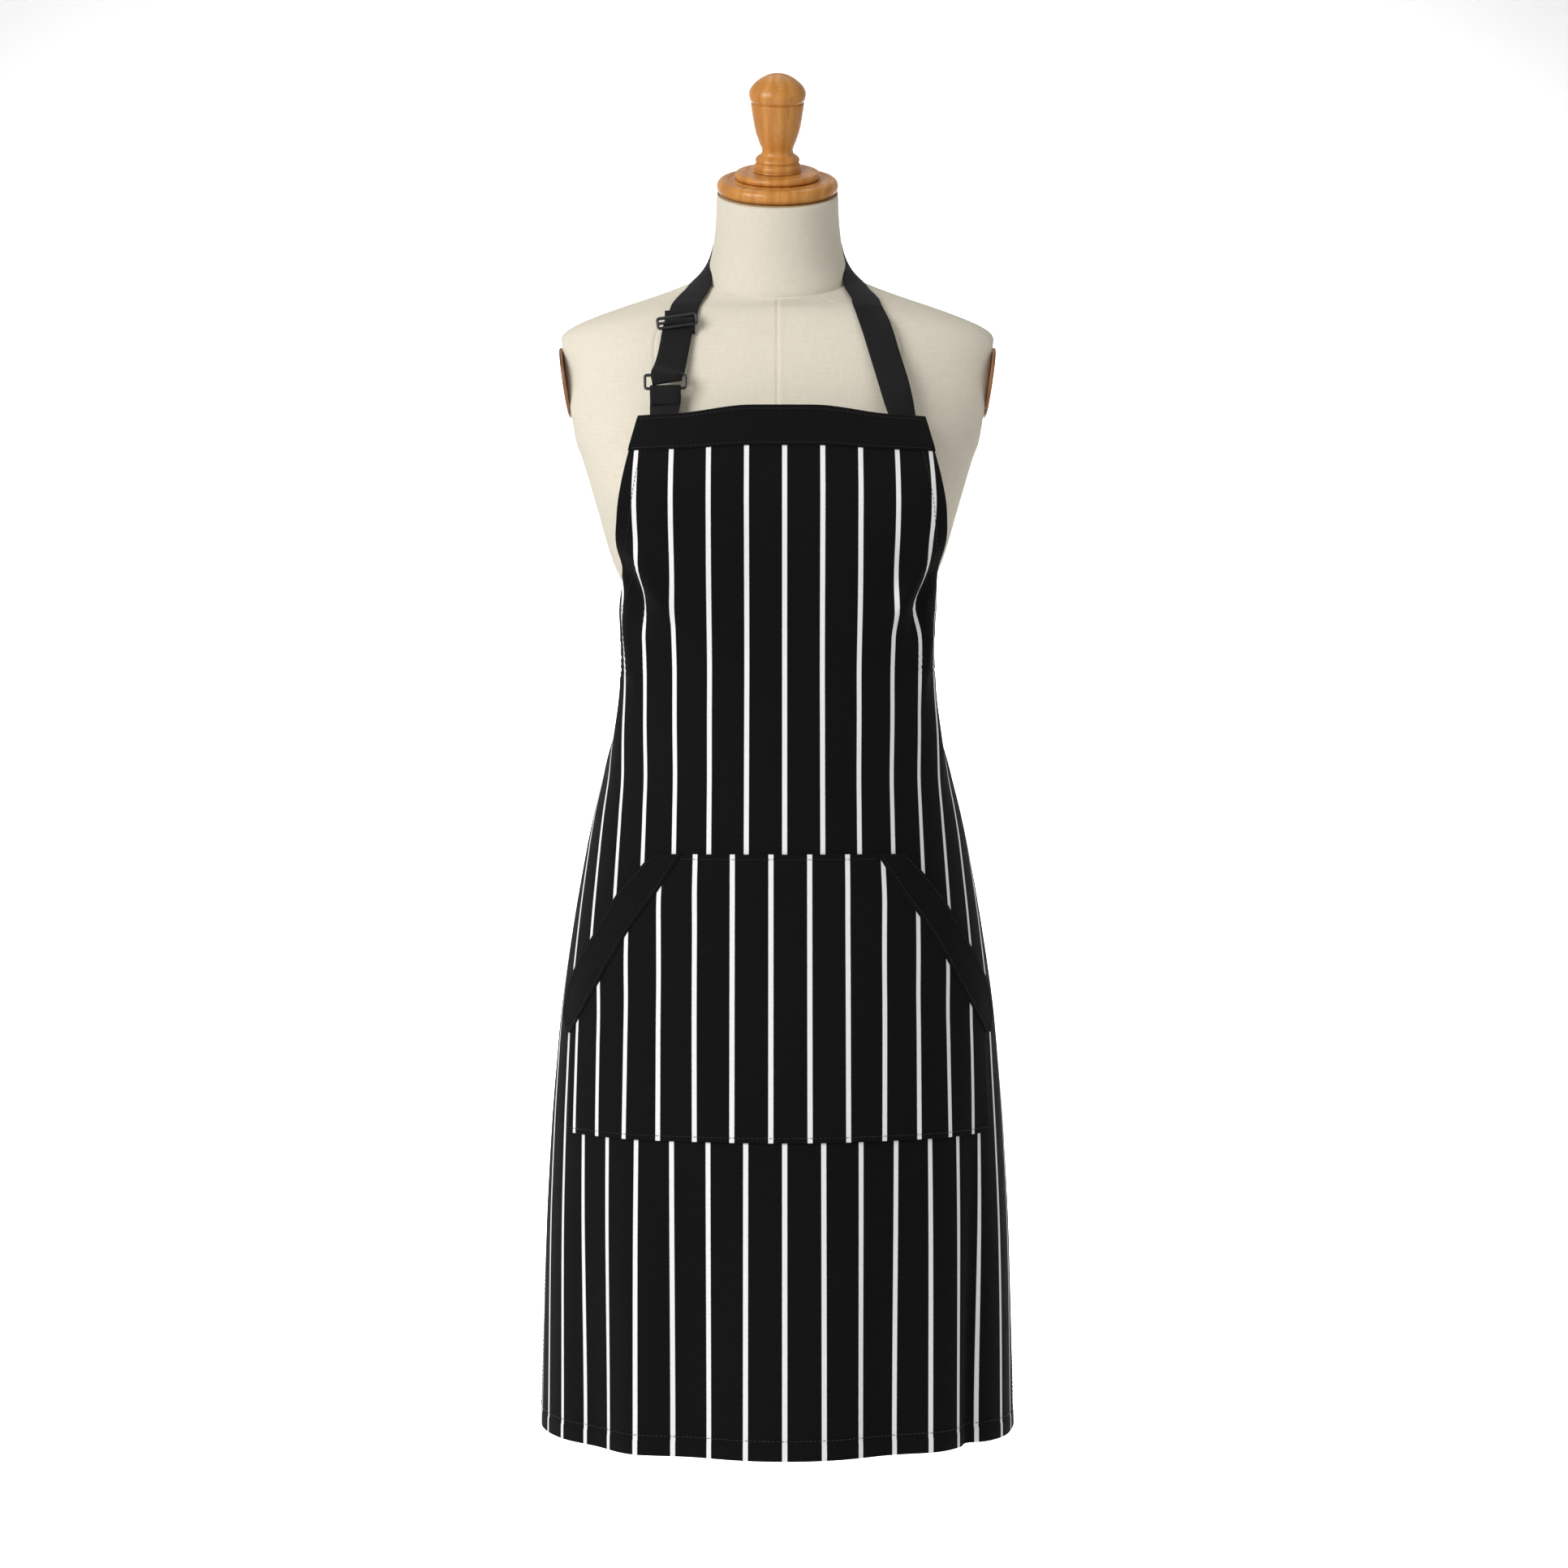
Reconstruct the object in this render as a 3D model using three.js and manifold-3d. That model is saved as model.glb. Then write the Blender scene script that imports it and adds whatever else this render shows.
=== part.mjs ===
// A pinstriped bib apron worn on a linen-covered dress form with a turned wooden neck cap.
// Millimetres, +Z up, the front faces -Y. The origin is the middle of the pole socket's lower rim.
import * as THREE from "three";
import { mergeVertices } from "three/addons/utils/BufferGeometryUtils.js";
import Module from "manifold-3d";

const wasm = await Module();
wasm.setup();

// ---- driving dimensions ----
const GAP = 0.3;
const COVER = 1.5; // linen over the shell
const SHELL_WALL = 5;
const AROUND = 28; // sides of a ring of the torso
const NECK_RING = 18; // the torso's ring where the hollow ends
const LEAN = Math.tan(THREE.MathUtils.degToRad(23)); // the neck cut's slope, lower at the front
const NECK_TOP = { z: 751, y: -14 };

// The torso's rings: height, half width, front, back, squareness, slope, shift along Y.
const TORSO = [
  [36, 156, 118, 110, 2.1, 0, 0],
  [90, 158, 122, 114, 2.1, 0, 0],
  [150, 151, 118, 112, 2.1, 0, 0],
  [225, 138, 108, 103, 2.1, 0, 0],
  [290, 124, 95, 84, 2.1, 0, 0],
  [345, 115, 84, 66, 2.1, 0, 0],
  [395, 121, 92, 74, 2.1, 0, 0],
  [440, 140, 106, 86, 2.1, 0, 0],
  [487, 154, 122, 92, 2.3, 0, 0],
  [527, 166, 104, 96, 2.1, 0, 0],
  [550, 175, 88, 97, 2, 0, 0],
  [578, 185, 78, 93, 2, 0, 0],
  [602, 188, 70, 88, 2, 0, 0],
  [622, 188, 62, 83, 2, 0, 0],
  [637, 178, 56, 78, 2, 0.04, 0],
  [650, 150, 53, 72, 2, 0.12, 0],
  [662, 115, 52, 67, 2, 0.25, 0],
  [672, 80, 53, 63, 2, 0.38, 0],
  [682, 61, 55, 60, 2, 0.46, 0],
  [702, 56, 52, 54.5, 2, 0.43, -2],
  [724, 53, 51.5, 52, 2, 0.41, -7],
  [NECK_TOP.z, 51.5, 51, 51, 2, LEAN, NECK_TOP.y],
];

const ARM_CUT = { x: 178, z: 592, lean: 8 }; // the flat where an arm would start, in mm and degrees
const ARM_PLATE = { depth: 34, height: 30, thick: 3.2 };

const SOCKET = { bore: 13, wall: 20, tall: 30, flange: 55, plate: 6 };
const BOARD = { low: 36.3, thick: 18, play: 0.6 };
const SPINE = { outer: 16, top: 330 };
const SCREW = { ring: 42, shank: 2.2, head: 5, reach: 14 };
const CLAMP = { z: 12, shank: 4, knob: 11, knobLong: 10, out: 36 };

const CAP = { lower: [51.5, 12], upper: [36, 6], bore: 4.2 }; // radius and thickness of each tier
const STUD = { r: 3.9, below: 12, above: 24 };
const FINIAL_LONG = 82;

// The cloth hangs as a half section at each height: height, front, run of cloth to the side line,
// how late the turn comes, run of cloth to the middle of the back.
const DRAPE = [
  [-287, -184, 293, 1.2, 640],
  [-121, -176, 283, 1.25, 620],
  [-37, -170, 277, 1.25, 600],
  [10, -165, 272, 1.25, 590],
  [69, -160, 264, 1.25, 560],
  [138, -152, 253, 1.2, 530],
  [199, -142, 241, 1.15, 480],
  [225, -136, 233, 1.15, 455],
  [262, -124, 218, 1.2, 430],
  [312, -107, 190, 1.5, 385],
  [345, -97, 180, 1.65, 349],
  [376, -101, 171, 1.9, 340],
  [400, -107, 167, 2.2, 330],
  [434, -119, 168, 2.5, 330],
  [469, -131, 208, 2.5, 330],
  [487, -134, 216, 2.4, 330],
  [527, -121, 210, 2, 330],
  [561, -108, 213, 1.6, 330],
];
// The apron's outline, half the flat width at each height.
const OUTLINE = [
  [-287, 305], [341, 305], [350, 250], [360, 210], [376, 178], [400, 163],
  [430, 148], [466, 139], [500, 134], [527, 130], [561, 124],
];
const CLOTH = { low: -287, high: 561, half: 1, offset: 4.5, columns: 22, step: 6 };
const BACK_TURN = 0.6; // how quickly the cloth turns flat across the back
const FACING = { low: 527, from: 1.4, to: 2.8 };
const POCKET = { low: -36, from: 3, to: 4.6, offset: 2 };
// Half width of the pocket's cloth and of its bound edge at each height.
const POCKET_EDGE = [
  [-36, 205], [45, 205], [66, 183], [91, 160], [130, 131], [163, 103], [194, 82],
];
const POCKET_HEIGHTS = [4, 45, 60, 84, 105, 130, 163, 194];
const BINDING_EDGE = [
  [45, 212], [60, 224], [84, 212], [105, 192], [130, 167], [163, 141], [194, 108],
];
const WEB = { wide: 25, thick: 1.6 };
const TUCK = 5.6; // webbing sewn behind the cloth, from the cloth's middle

// The buckles of the neck strap: place, size, lean to the side in degrees.
const RING_AT = { x: -92.5, y: -83.5, z: 583, wide: 36, tall: 14, lean: 1 };
const SLIDER_AT = { x: -83.5, y: -60.5, z: 636, wide: 35, tall: 11, lean: 8 };
const BUCKLE = { deep: 3, bar: 2.4, cheek: 4, corner: 3, bevel: 0.5, backward: 0.2 };

// The waist ties run round the back to a knot with a bow.
const KNOT = { x: 0, y: 84, z: 343, wide: 26, deep: 15, tall: 22 };
const TIE = { end: 305, sewn: 14, z: 341, proud: 1 };
const LOOP = { long: 60, open: 20, web: 3, wide: 22, droop: 12 };
const TAIL = { from: [15.5, -18], to: [36, -225], lift: [14, 3.5], settles: 0.5 };

// ---- small helpers ----
const lerp = THREE.MathUtils.lerp;
const rad = THREE.MathUtils.degToRad;

// A row of a table at a height, its columns joined by smooth curves.
function tableRow(table, at) {
  const last = table.length - 1;
  let i = table.findIndex((row) => row[0] > at) - 1;
  if (i < 0) i = at >= table[last][0] ? last - 1 : 0;
  const t = THREE.MathUtils.clamp((at - table[i][0]) / (table[i + 1][0] - table[i][0]), 0, 1);
  return table[i].map((v, c) => {
    const slope = (k) => {
      const a = table[Math.max(k - 1, 0)];
      const b = table[Math.min(k + 1, last)];
      return (b[c] - a[c]) / (b[0] - a[0]);
    };
    const span = table[i + 1][0] - table[i][0];
    const t2 = t * t;
    const t3 = t2 * t;
    return (2 * t3 - 3 * t2 + 1) * v + (t3 - 2 * t2 + t) * span * slope(i) +
      (-2 * t3 + 3 * t2) * table[i + 1][c] + (t3 - t2) * span * slope(i + 1);
  });
}

function straightRow(table, at) {
  const i = Math.min(Math.max(table.findIndex((row) => row[0] >= at), 1), table.length - 1);
  const [a, b] = [table[i - 1], table[i]];
  return lerp(a[1], b[1], THREE.MathUtils.clamp((at - a[0]) / (b[0] - a[0]), 0, 1));
}

function indexed(points, faces) {
  const g = new THREE.BufferGeometry();
  g.setAttribute("position", new THREE.Float32BufferAttribute(points.flatMap((p) => [p.x, p.y, p.z]), 3));
  g.setIndex(faces);
  return g;
}

function solid(geometry) {
  const g = geometry.clone();
  g.deleteAttribute("normal");
  g.deleteAttribute("uv");
  const merged = mergeVertices(g, 1e-4);
  return new wasm.Manifold(new wasm.Mesh({
    numProp: 3,
    vertProperties: merged.attributes.position.array,
    triVerts: new Uint32Array(merged.index.array),
  }));
}

function geometryOf(manifold) {
  const { vertProperties, triVerts } = manifold.getMesh();
  const g = new THREE.BufferGeometry();
  g.setAttribute("position", new THREE.Float32BufferAttribute(vertProperties, 3));
  g.setIndex([...triVerts]);
  return g;
}

const cut = (body, ...tools) => geometryOf(tools.reduce((s, t) => s.subtract(solid(t)), solid(body)));

// A closed skin from two stacks of points, outside and inside, each a list of closed rings.
function skin(outer, inner) {
  const n = outer[0].length;
  const rows = outer.length;
  const faces = [];
  const quad = (a, b, c, d) => faces.push(a, b, c, a, c, d);
  const at = (side, r, k) => side * rows * n + r * n + (k % n);
  for (let r = 0; r < rows - 1; r++)
    for (let k = 0; k < n; k++) {
      quad(at(0, r, k), at(0, r, k + 1), at(0, r + 1, k + 1), at(0, r + 1, k));
      quad(at(1, r, k), at(1, r + 1, k), at(1, r + 1, k + 1), at(1, r, k + 1));
    }
  for (let k = 0; k < n; k++) {
    quad(at(0, 0, k), at(1, 0, k), at(1, 0, k + 1), at(0, 0, k + 1));
    quad(at(0, rows - 1, k), at(0, rows - 1, k + 1), at(1, rows - 1, k + 1), at(1, rows - 1, k));
  }
  return indexed([...outer.flat(), ...inner.flat()], faces);
}

// A thin closed sheet: a grid of points pushed both ways along its normals.
function sheet(grid, from, to) {
  const rows = grid.length;
  const n = grid[0].length;
  const points = [to, from].flatMap((d) => grid.flat().map((g) => g.p.clone().addScaledVector(g.n, d)));
  const at = (side, r, k) => side * rows * n + r * n + k;
  const faces = [];
  const quad = (a, b, c, d) => faces.push(a, b, c, a, c, d);
  for (let r = 0; r < rows - 1; r++)
    for (let k = 0; k < n - 1; k++) {
      quad(at(0, r, k), at(0, r, k + 1), at(0, r + 1, k + 1), at(0, r + 1, k));
      quad(at(1, r, k), at(1, r + 1, k), at(1, r + 1, k + 1), at(1, r, k + 1));
    }
  for (let r = 0; r < rows - 1; r++) {
    quad(at(0, r, 0), at(0, r + 1, 0), at(1, r + 1, 0), at(1, r, 0));
    quad(at(0, r, n - 1), at(1, r, n - 1), at(1, r + 1, n - 1), at(0, r + 1, n - 1));
  }
  for (let k = 0; k < n - 1; k++) {
    quad(at(0, 0, k), at(1, 0, k), at(1, 0, k + 1), at(0, 0, k + 1));
    quad(at(0, rows - 1, k), at(0, rows - 1, k + 1), at(1, rows - 1, k + 1), at(1, rows - 1, k));
  }
  return indexed(points, faces);
}

// ---- the torso's surface ----
const power = (v, n) => Math.sign(v) * Math.abs(v) ** (2 / n);

// A point of the torso. ring counts along TORSO, angle is 0 at the right side and 90 at the back.
function torsoPoint(ring, angle) {
  const i = Math.min(Math.floor(ring), TORSO.length - 2);
  const f = ring - i;
  const [z, w, front, back, n, slope, shift] = TORSO[i].map((v, c) => lerp(v, TORSO[i + 1][c], f));
  const a = rad(angle);
  const y = power(Math.sin(a), n) * (Math.sin(a) < 0 ? front : back);
  return new THREE.Vector3(w * power(Math.cos(a), n), y + shift, z + slope * y);
}

function torsoNormal(ring, angle, e = 0.02) {
  const top = TORSO.length - 1;
  const up = torsoPoint(Math.min(ring + e, top), angle).sub(torsoPoint(Math.max(ring - e, 0), angle));
  const side = torsoPoint(ring, angle + 1).sub(torsoPoint(ring, angle - 1));
  return side.cross(up).normalize();
}

const ringAt = (z) => {
  const i = TORSO.findIndex((row) => row[0] > z) - 1;
  return i + (z - TORSO[i][0]) / (TORSO[i + 1][0] - TORSO[i][0]);
};

// The torso's rings pushed inwards by depth, from one ring to another.
function torsoStack(depth, first = 0, last = TORSO.length - 1, step = 1, sides = AROUND) {
  const stack = [];
  for (let r = first; r <= last; r += step) {
    const ring = [];
    for (let k = 0; k < sides; k++) {
      const angle = (k * 360) / sides;
      const n = torsoNormal(r, angle);
      const plane = new THREE.Vector3(0, -TORSO[r][5], 1).normalize();
      if (r === first || r === last) n.projectOnPlane(plane);
      ring.push(torsoPoint(r, angle).addScaledVector(n.normalize(), -depth));
    }
    stack.push(ring);
  }
  return stack;
}

// A closed lump from a stack of rings, its ends filled in from their middles.
function lump(stack) {
  const n = stack[0].length;
  const points = stack.flat();
  const faces = [];
  for (let r = 0; r < stack.length - 1; r++)
    for (let k = 0; k < n; k++) {
      const [a, b] = [r * n + k, r * n + ((k + 1) % n)];
      faces.push(a, b, b + n, a, b + n, a + n);
    }
  for (const [r, flip] of [[0, true], [stack.length - 1, false]]) {
    const middle = stack[r].reduce((s, p) => s.add(p), new THREE.Vector3()).divideScalar(n);
    points.push(middle);
    for (let k = 0; k < n; k++) {
      const [a, b] = [r * n + k, r * n + ((k + 1) % n)];
      faces.push(points.length - 1, flip ? b : a, flip ? a : b);
    }
  }
  return indexed(points, faces);
}

// A round rod or drill along Z, centred.
const disc = (r, h, sides = 24) => new THREE.CylinderGeometry(r, r, h, sides).rotateX(Math.PI / 2);

// The block that slices the arm flat off one side.
function armSlice(side) {
  const block = new THREE.BoxGeometry(60, 200, 160).translate(30, 0, 0);
  return block.rotateY(rad(ARM_CUT.lean)).translate(ARM_CUT.x, 0, ARM_CUT.z)
    .applyMatrix4(new THREE.Matrix4().makeScale(side, 1, 1));
}
function flipped(geometry) {
  const g = mergeVertices(geometry.index ? geometry : geometry.clone());
  const a = [...g.index.array];
  for (let i = 0; i < a.length; i += 3) [a[i], a[i + 1]] = [a[i + 1], a[i]];
  g.setIndex(a);
  return g;
}
const armSlices = [armSlice(1), flipped(armSlice(-1))];

const outward = (g, along, from) => g.applyQuaternion(
  new THREE.Quaternion().setFromUnitVectors(new THREE.Vector3(0, 0, 1), along)).translate(...from);
const NECK_AXIS = new THREE.Vector3(0, -LEAN, 1).normalize();
const neckPoint = (s) => new THREE.Vector3(0, NECK_TOP.y, NECK_TOP.z).addScaledVector(NECK_AXIS, s);

// ---- dress form ----
function linenCover() {
  return cut(skin(torsoStack(0), torsoStack(COVER)), ...armSlices);
}

function torsoShell() {
  const outside = lump(torsoStack(COVER + GAP));
  const inside = lump(torsoStack(COVER + GAP + SHELL_WALL, 0, NECK_RING));
  const [low, high] = [TORSO[0][0] - 6, TORSO[1][0] + 2];
  const mouth = lump(torsoStack(COVER + GAP + SHELL_WALL, 0, 1).map(
    (ring, r) => ring.map((p) => p.clone().setZ(r ? high : low))));
  const stud = outward(disc(STUD.r + GAP, 60), NECK_AXIS, neckPoint(-10));
  return cut(outside, inside, mouth, stud, ...armSlices);
}

function baseBoard() {
  const ring = torsoStack(COVER + 2 * GAP + SHELL_WALL, 0, 0)[0];
  const share = 1 - BOARD.play / TORSO[0][2];
  const outline = new THREE.Shape(ring.map((p) => new THREE.Vector2(p.x * share, p.y * share)));
  const board = new THREE.ExtrudeGeometry(outline, { depth: BOARD.thick, bevelEnabled: false })
    .translate(0, 0, BOARD.low);
  const bore = disc(SOCKET.bore, 60).translate(0, 0, 40);
  const holes = screwPlaces().map(([x, y]) => disc(SCREW.shank + GAP, 40, 10).translate(x, y, BOARD.low - 5));
  return cut(board, bore, ...holes);
}

function screwPlaces() {
  return [45, 135, 225, 315].map((a) => [SCREW.ring * Math.cos(rad(a)), SCREW.ring * Math.sin(rad(a))]);
}

function poleSocket() {
  const { bore, wall, tall, flange, plate } = SOCKET;
  const profile = [
    [bore, 0], [wall, 0], [wall, tall - 5], [wall + 4, tall], [flange, tall], [flange, tall + plate],
    [bore, tall + plate], [bore, 0],
  ].map(([r, z]) => new THREE.Vector2(r, z));
  const body = new THREE.LatheGeometry(profile, 24).rotateX(Math.PI / 2);
  const holes = screwPlaces().map(([x, y]) => disc(SCREW.shank + GAP, 30, 10).translate(x, y, 34));
  const cross = disc(CLAMP.shank + GAP, 20, 20).rotateX(-Math.PI / 2).translate(0, 20, CLAMP.z);
  return cut(body, ...holes, cross);
}

function flangeScrew(x, y) {
  const { shank, head, reach } = SCREW;
  const z = SOCKET.tall - GAP;
  const profile = [[0, -3], [3, -2.6], [head, 0], [shank, 0], [shank, reach], [0, reach + 2]]
    .map(([r, h]) => new THREE.Vector2(r, h));
  return new THREE.LatheGeometry(profile, 10).rotateX(Math.PI / 2).translate(x, y, z);
}

function spineTube() {
  const { outer, top } = SPINE;
  const low = BOARD.low + BOARD.thick + GAP;
  const profile = [[SOCKET.bore, low], [outer + 14, low], [outer + 14, low + 3], [outer, low + 3], [outer, top],
    [SOCKET.bore, top], [SOCKET.bore, low]].map(([r, z]) => new THREE.Vector2(r, z));
  return new THREE.LatheGeometry(profile, 24).rotateX(Math.PI / 2);
}

function clampScrew() {
  const { shank, knob, knobLong, out } = CLAMP;
  const inner = SOCKET.bore + 0.5;
  const profile = [[0, inner], [shank, inner], [shank, out], [knob - 3, out], [knob, out + 1.5],
    [knob, out + knobLong - 1.5], [knob - 1.5, out + knobLong], [0, out + knobLong]]
    .map(([r, y]) => new THREE.Vector2(r, y));
  return new THREE.LatheGeometry(profile, 20).translate(0, 0, CLAMP.z);
}

function armPlate(side) {
  const oval = new THREE.Shape().absellipse(0, 0, ARM_PLATE.depth, ARM_PLATE.height, 0, Math.PI * 2);
  const plate = new THREE.ExtrudeGeometry(oval, {
    depth: ARM_PLATE.thick - 2.4, curveSegments: 7,
    bevelThickness: 1.2, bevelSize: 1.2, bevelOffset: -1.2, bevelSegments: 1,
  }).translate(0, 0, 1.2 + GAP);
  plate.rotateY(Math.PI / 2).rotateX(Math.PI / 2).rotateY(rad(ARM_CUT.lean)).translate(ARM_CUT.x, 0, ARM_CUT.z);
  return side < 0 ? plate.rotateZ(Math.PI) : plate;
}

// A turned piece about the neck's axis, its profile measured up from the neck's cut.
function turned(profile, sides = 24) {
  const g = new THREE.LatheGeometry(profile.map(([r, s]) => new THREE.Vector2(r, s)), sides);
  return outward(g.rotateX(Math.PI / 2), NECK_AXIS, neckPoint(0));
}

function roundedTier(r, low, thick, edge) {
  const rim = [0, 45, 90, 135, 180].map((a) => {
    const middle = a >= 90 ? low + thick - edge : low + edge;
    return [r - edge + edge * Math.sin(rad(a)), middle - edge * Math.cos(rad(a))];
  });
  return [[CAP.bore, low], ...rim, [CAP.bore, low + thick], [CAP.bore, low]];
}

const capLower = () => turned(roundedTier(CAP.lower[0], GAP, CAP.lower[1], 5.5));
const capUpper = () => turned(roundedTier(CAP.upper[0], CAP.lower[1] + 2 * GAP, CAP.upper[1], 2.8));

function finial() {
  const low = CAP.lower[1] + CAP.upper[1] + 3 * GAP;
  const long = FINIAL_LONG;
  const outline = [
    [CAP.bore, 0], [18.8, 0], [19.9, 2.4], [19.3, 5.4], [18, 7.2], [18.6, 9.4], [17, 12.2], [13.6, 15.6],
    [13.4, 18.2], [15.4, 23.9], [17.7, 30.4], [19.7, 38.6], [21, 46.4], [22.1, 53.5], [22.2, 57],
    [21.4, 58.2], [22.6, 59.6], [23.9, 65], [22.9, 68.8], [18.4, 74.6], [12.6, 78.6], [6, 81.3], [0, long],
  ];
  const bored = [...outline, [0, STUD.above + 1], [CAP.bore, STUD.above + 1], [CAP.bore, 0]];
  return turned(bored.map(([r, s]) => [r, s + low]), 16);
}

function finialStud() {
  const top = CAP.lower[1] + CAP.upper[1] + STUD.above;
  return turned([[0, -STUD.below], [STUD.r, -STUD.below + 1], [STUD.r, top - 1], [0, top]], 12);
}

// ---- apron cloth ----
// A point of the cloth, u along its width from the middle and z its height, with its outward normal.
function clothPoint(u, z) {
  const [, front, side, late, back] = tableRow(DRAPE, z);
  const reach = Math.abs(u);
  const steps = Math.max(2, Math.ceil(reach / CLOTH.step));
  const angleAt = (s) => (s < side
    ? (Math.PI / 2) * (s / side) ** late
    : (Math.PI / 2) * (1 + Math.min((s - side) / (back - side), 1) ** BACK_TURN));
  let x = 0;
  let y = front;
  for (let i = 0; i < steps; i++) {
    const a = angleAt(((i + 0.5) / steps) * reach);
    x += (Math.cos(a) * reach) / steps;
    y += (Math.sin(a) * reach) / steps;
  }
  const a = angleAt(reach);
  const sign = Math.sign(u) || 1;
  return { p: new THREE.Vector3(sign * x, y, z), n: new THREE.Vector3(sign * Math.sin(a), -Math.cos(a), 0) };
}

function clothGrid(heights, left, right, columns) {
  return heights.map((z) => {
    const [a, b] = [left(z), right(z)];
    return Array.from({ length: columns + 1 }, (_, k) => clothPoint(lerp(a, b, k / columns), z));
  });
}

const heightsBetween = (low, high, step) => {
  const n = Math.ceil((high - low) / step);
  return Array.from({ length: n + 1 }, (_, i) => lerp(low, high, i / n));
};

function apronBody() {
  const skirt = [...heightsBetween(CLOTH.low, POCKET.low, 50), ...POCKET_HEIGHTS, 225, 262, 305];
  const heights = [...skirt, ...OUTLINE.slice(1).map((row) => row[0])];
  const half = (z) => straightRow(OUTLINE, z);
  return sheet(clothGrid(heights, (z) => CLOTH.offset - half(z), (z) => CLOTH.offset + half(z), CLOTH.columns),
    -CLOTH.half, CLOTH.half);
}

function bibFacing() {
  const half = (z) => straightRow(OUTLINE, z) - 0.5;
  const grid = clothGrid([FACING.low, 539, 550, CLOTH.high], (z) => CLOTH.offset - half(z),
    (z) => CLOTH.offset + half(z), CLOTH.columns);
  return sheet(grid, FACING.from, FACING.to);
}

function pocketPanel() {
  const half = (z) => straightRow(POCKET_EDGE, z);
  const heights = [POCKET.low, ...POCKET_HEIGHTS];
  return sheet(clothGrid(heights, (z) => POCKET.offset - half(z), (z) => POCKET.offset + half(z), 16),
    POCKET.from, POCKET.to);
}

function pocketBinding(side) {
  const inner = (z) => straightRow(POCKET_EDGE, z) + GAP;
  const outer = (z) => straightRow(BINDING_EDGE, z);
  const heights = POCKET_HEIGHTS.slice(1);
  const [a, b] = side > 0 ? [inner, outer] : [outer, inner];
  return sheet(clothGrid(heights, (z) => POCKET.offset + side * a(z), (z) => POCKET.offset + side * b(z), 3),
    POCKET.from, POCKET.to);
}

// ---- webbing ----
// A flat strap through points that carry their outward normal.
function strap(stations, wide = WEB.wide, thick = WEB.thick) {
  const rings = stations.map(({ p, n }, i) => {
    const a = stations[Math.max(i - 1, 0)].p;
    const b = stations[Math.min(i + 1, stations.length - 1)].p;
    const along = b.clone().sub(a).normalize();
    const across = along.clone().cross(n).normalize();
    const out = across.clone().cross(along).normalize();
    return [[1, 1], [-1, 1], [-1, -1], [1, -1]].map(([s, t]) => p.clone()
      .addScaledVector(across, (s * wide) / 2).addScaledVector(out, (t * thick) / 2));
  });
  const g = lump(rings);
  return solid(g).volume() < 0 ? flipped(g) : g;
}

// Stations on the torso between hand-set stops of height or ring and angle, lifted off the linen.
function alongTorso(stops, lift, count) {
  const curve = new THREE.CatmullRomCurve3(stops.map(([ring, angle]) => new THREE.Vector3(ring, angle, 0)));
  return curve.getPoints(count).map((s) => {
    const n = torsoNormal(s.x, s.y, 0.5);
    return { p: torsoPoint(s.x, s.y).addScaledVector(n, lift(s.x)), n };
  });
}

const chest = (x, z, y, tilt = 0) => ({
  p: new THREE.Vector3(x, y, z),
  n: new THREE.Vector3(x > 0 ? tilt : -tilt, -1, 0.2).normalize(),
});
// Webbing sewn behind the cloth, its middle at u and z.
const behindCloth = (u, z) => {
  const { p, n } = clothPoint(u, z);
  return { p: p.addScaledVector(n, -TUCK), n };
};
const strapLift = (ring) => lerp(3.2, 6.4, THREE.MathUtils.smoothstep(ring, 16, 18));

function strapTab() {
  return strap([behindCloth(-97, 530), behindCloth(-97, 545), behindCloth(-97, 558), chest(-92.5, 581.5, -78.8)]);
}

function neckStrap() {
  const over = alongTorso([[15.1, 239], [16.2, 228], [17.3, 205], [18.2, 170], [18.7, 120], [18.8, 90],
    [18.7, 60], [18.2, 10], [17.3, -25], [16.2, -47], [15.1, -58.5]], strapLift, 26);
  const left = [chest(-92.3, 585, -77), chest(-88, 610, -65.6), chest(-84, 634, -55.4)];
  const right = [chest(83, 630, -58), chest(90, 605, -68.5), chest(97, 580, -78.5), behindCloth(108.5, 556),
    behindCloth(109.5, 545), behindCloth(110, 530)];
  return strap([...left, ...over, ...right]);
}

function barFrame({ x, y, z, wide, tall, lean }, bars) {
  const outline = new THREE.Shape();
  const { deep, bar, cheek, corner: r, bevel, backward } = BUCKLE;
  const [w, h] = [wide / 2, tall / 2];
  outline.moveTo(-w + r, -h).lineTo(w - r, -h).absarc(w - r, -h + r, r, -Math.PI / 2, 0)
    .lineTo(w, h - r).absarc(w - r, h - r, r, 0, Math.PI / 2)
    .lineTo(-w + r, h).absarc(-w + r, h - r, r, Math.PI / 2, Math.PI)
    .lineTo(-w, -h + r).absarc(-w + r, -h + r, r, Math.PI, Math.PI * 1.5);
  const slot = (tall - bar * (bars + 1)) / bars;
  for (let i = 0; i < bars; i++) {
    const low = -h + bar + i * (slot + bar);
    const hole = new THREE.Path();
    const side = w - cheek;
    hole.moveTo(-side, low).lineTo(-side, low + slot).lineTo(side, low + slot).lineTo(side, low).closePath();
    outline.holes.push(hole);
  }
  const g = new THREE.ExtrudeGeometry(outline, {
    depth: deep - 2 * bevel, bevelThickness: bevel, bevelSize: bevel, bevelOffset: -bevel, bevelSegments: 1,
    curveSegments: 4,
  }).translate(0, 0, bevel - deep / 2);
  return g.rotateX(Math.PI / 2 - backward).rotateY(rad(-lean)).translate(x, y, z);
}

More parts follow.
